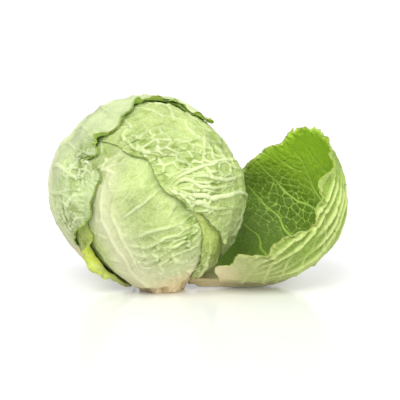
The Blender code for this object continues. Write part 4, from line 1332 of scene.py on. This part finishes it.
class CABBAGE_OT_stump(bpy.types.Operator):
    """Add the cut stump"""

    bl_idname = "cabbage.stump"
    bl_label = "Stump"

    def execute(self, context):
        low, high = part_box("stump")
        top = high.z + STUMP_RAISED
        sides, dry = stump_sides(low.z, top)
        points = np.concatenate([sides.reshape(-1, 3), [[0, 0, low.z], [0, 0, top]]])
        foot, crown = len(points) - 2, len(points) - 1
        index = np.arange(foot).reshape(dry.shape)
        after = np.roll(index, -1, axis=0)
        quads = np.stack([index[:, :-1], after[:, :-1], after[:, 1:], index[:, 1:]], axis=-1).reshape(-1, 4)
        faces = quads.tolist()
        faces += [(foot, int(b), int(a)) for a, b in zip(index[:, 0], after[:, 0])]
        faces += [(crown, int(a), int(b)) for a, b in zip(index[:, -1], after[:, -1])]
        mesh = bpy.data.meshes.new("stump_fine")
        mesh.from_pydata(points.tolist(), [], faces)
        keep_fact(mesh, "dry", np.concatenate([dry.ravel(), [0.2, 0.0]]))
        mesh.shade_smooth()
        made = linked("stump_fine", mesh)
        made.data.materials.append(stump_material())
        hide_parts("stump")
        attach(made, "root")
        return {"FINISHED"}


class CABBAGE_OT_stage(bpy.types.Operator):
    """Set up the floor, the lights and the camera"""

    bl_idname = "cabbage.stage"
    bl_label = "Stage"

    def execute(self, context):
        self.floor(context.scene)
        self.surround(context.scene)
        stage = context.scene.cabbage_stage
        self.light("key", (0.22, 0.80, -0.80), stage.key, stage.key_spread)
        self.light("fill", (-0.85, 0.55, -0.55), stage.fill, stage.fill_spread)
        self.camera(context.scene)
        context.scene.view_settings.view_transform = "Standard"
        context.scene.view_settings.look = "None"
        return {"FINISHED"}

    def floor(self, scene):
        """A wide, slightly glossy sheet that is lit a little from within."""
        mesh = bpy.data.meshes.new("studio_floor")
        sheet = bmesh.new()
        bmesh.ops.create_grid(sheet, x_segments=1, y_segments=1, size=6.0)
        sheet.to_mesh(mesh)
        sheet.free()
        floor = linked("studio_floor", mesh)
        n = Nodes("studio_floor")
        n.shader.inputs["Base Color"].default_value = (*scene.cabbage_stage.floor, 1.0)
        n.shader.inputs["Emission Color"].default_value = WHITE
        seen = n.add("ShaderNodeLightPath").outputs["Is Camera Ray"]
        n.put(n.times(seen, scene.cabbage_stage.glow), n.shader.inputs["Emission Strength"])
        n.shader.inputs["Roughness"].default_value = 0.16
        n.shader.inputs["Specular IOR Level"].default_value = 0.5
        mesh.materials.append(n.material)

    def surround(self, scene):
        """White light from all sides, which is brighter where it is seen or mirrored than where it falls."""
        world = bpy.data.worlds.new("studio")
        world.use_nodes = True
        tree = world.node_tree
        falls = tree.nodes["Background"]
        shows = tree.nodes.new("ShaderNodeBackground")
        for light, strength in ((falls, scene.cabbage_stage.sky), (shows, scene.cabbage_stage.backdrop)):
            light.inputs["Color"].default_value = WHITE
            light.inputs["Strength"].default_value = strength
        path = tree.nodes.new("ShaderNodeLightPath")
        seen = tree.nodes.new("ShaderNodeMath")
        seen.operation = "MAXIMUM"
        either = tree.nodes.new("ShaderNodeMixShader")
        tree.links.new(path.outputs["Is Camera Ray"], seen.inputs[0])
        tree.links.new(path.outputs["Is Glossy Ray"], seen.inputs[1])
        for place, output in enumerate((seen.outputs[0], falls.outputs[0], shows.outputs[0])):
            tree.links.new(output, either.inputs[place])
        tree.links.new(either.outputs[0], tree.nodes["World Output"].inputs["Surface"])
        scene.world = world

    def light(self, name, course, strength, spread):
        """A far, soft light that shines along the given course."""
        data = bpy.data.lights.new(name, "SUN")
        data.energy = strength
        data.angle = spread
        lamp = linked(name, data)
        lamp.rotation_euler = Vector(course).to_track_quat("-Z", "Y").to_euler()

    def camera(self, scene):
        """The camera, at its distance and height from its aim, straight in front of the cabbage."""
        stage = scene.cabbage_stage
        data = bpy.data.cameras.new("camera")
        data.lens = stage.lens
        data.sensor_width = 36.0
        data.clip_start = 0.02
        camera = linked("camera", data)
        back = Vector((0.0, -math.cos(stage.elevation), math.sin(stage.elevation)))
        camera.location = Vector(stage.aim) + back * stage.distance
        camera.rotation_euler = (-back).to_track_quat("-Z", "Y").to_euler()
        scene.camera = camera


class CABBAGE_PT_panel(bpy.types.Panel):
    """The cabbage's pieces"""

    bl_idname = "CABBAGE_PT_panel"
    bl_label = "Cabbage head"
    bl_space_type = "VIEW_3D"
    bl_region_type = "UI"
    bl_category = "Cabbage"

    def draw(self, context):
        for operator in OPERATORS:
            self.layout.operator(operator.bl_idname)
        for name, group in GROUPS.items():
            box = self.layout.box()
            for key in group.__annotations__:
                box.prop(getattr(context.scene, name), key)


GROUPS = {"cabbage_sizes": CabbageSizes, "cabbage_colours": CabbageColours, "cabbage_stage": CabbageStage}
OPERATORS = (
    CABBAGE_OT_stump,
    CABBAGE_OT_heart,
    CABBAGE_OT_head_leaves,
    CABBAGE_OT_open_leaf,
    CABBAGE_OT_stage,
)
CLASSES = (*GROUPS.values(), *OPERATORS, CABBAGE_PT_panel)


def register():
    """Adds the classes and the settings."""
    for cls in CLASSES:
        bpy.utils.register_class(cls)
    for name, group in GROUPS.items():
        setattr(bpy.types.Scene, name, PointerProperty(type=group))


def unregister():
    """Removes the settings and the classes."""
    for name in GROUPS:
        delattr(bpy.types.Scene, name)
    for cls in reversed(CLASSES):
        bpy.utils.unregister_class(cls)


def main():
    """Builds every piece."""
    register()
    for operator in OPERATORS:
        getattr(bpy.ops.cabbage, operator.bl_idname.split(".")[1])()


if __name__ == "__main__":
    main()
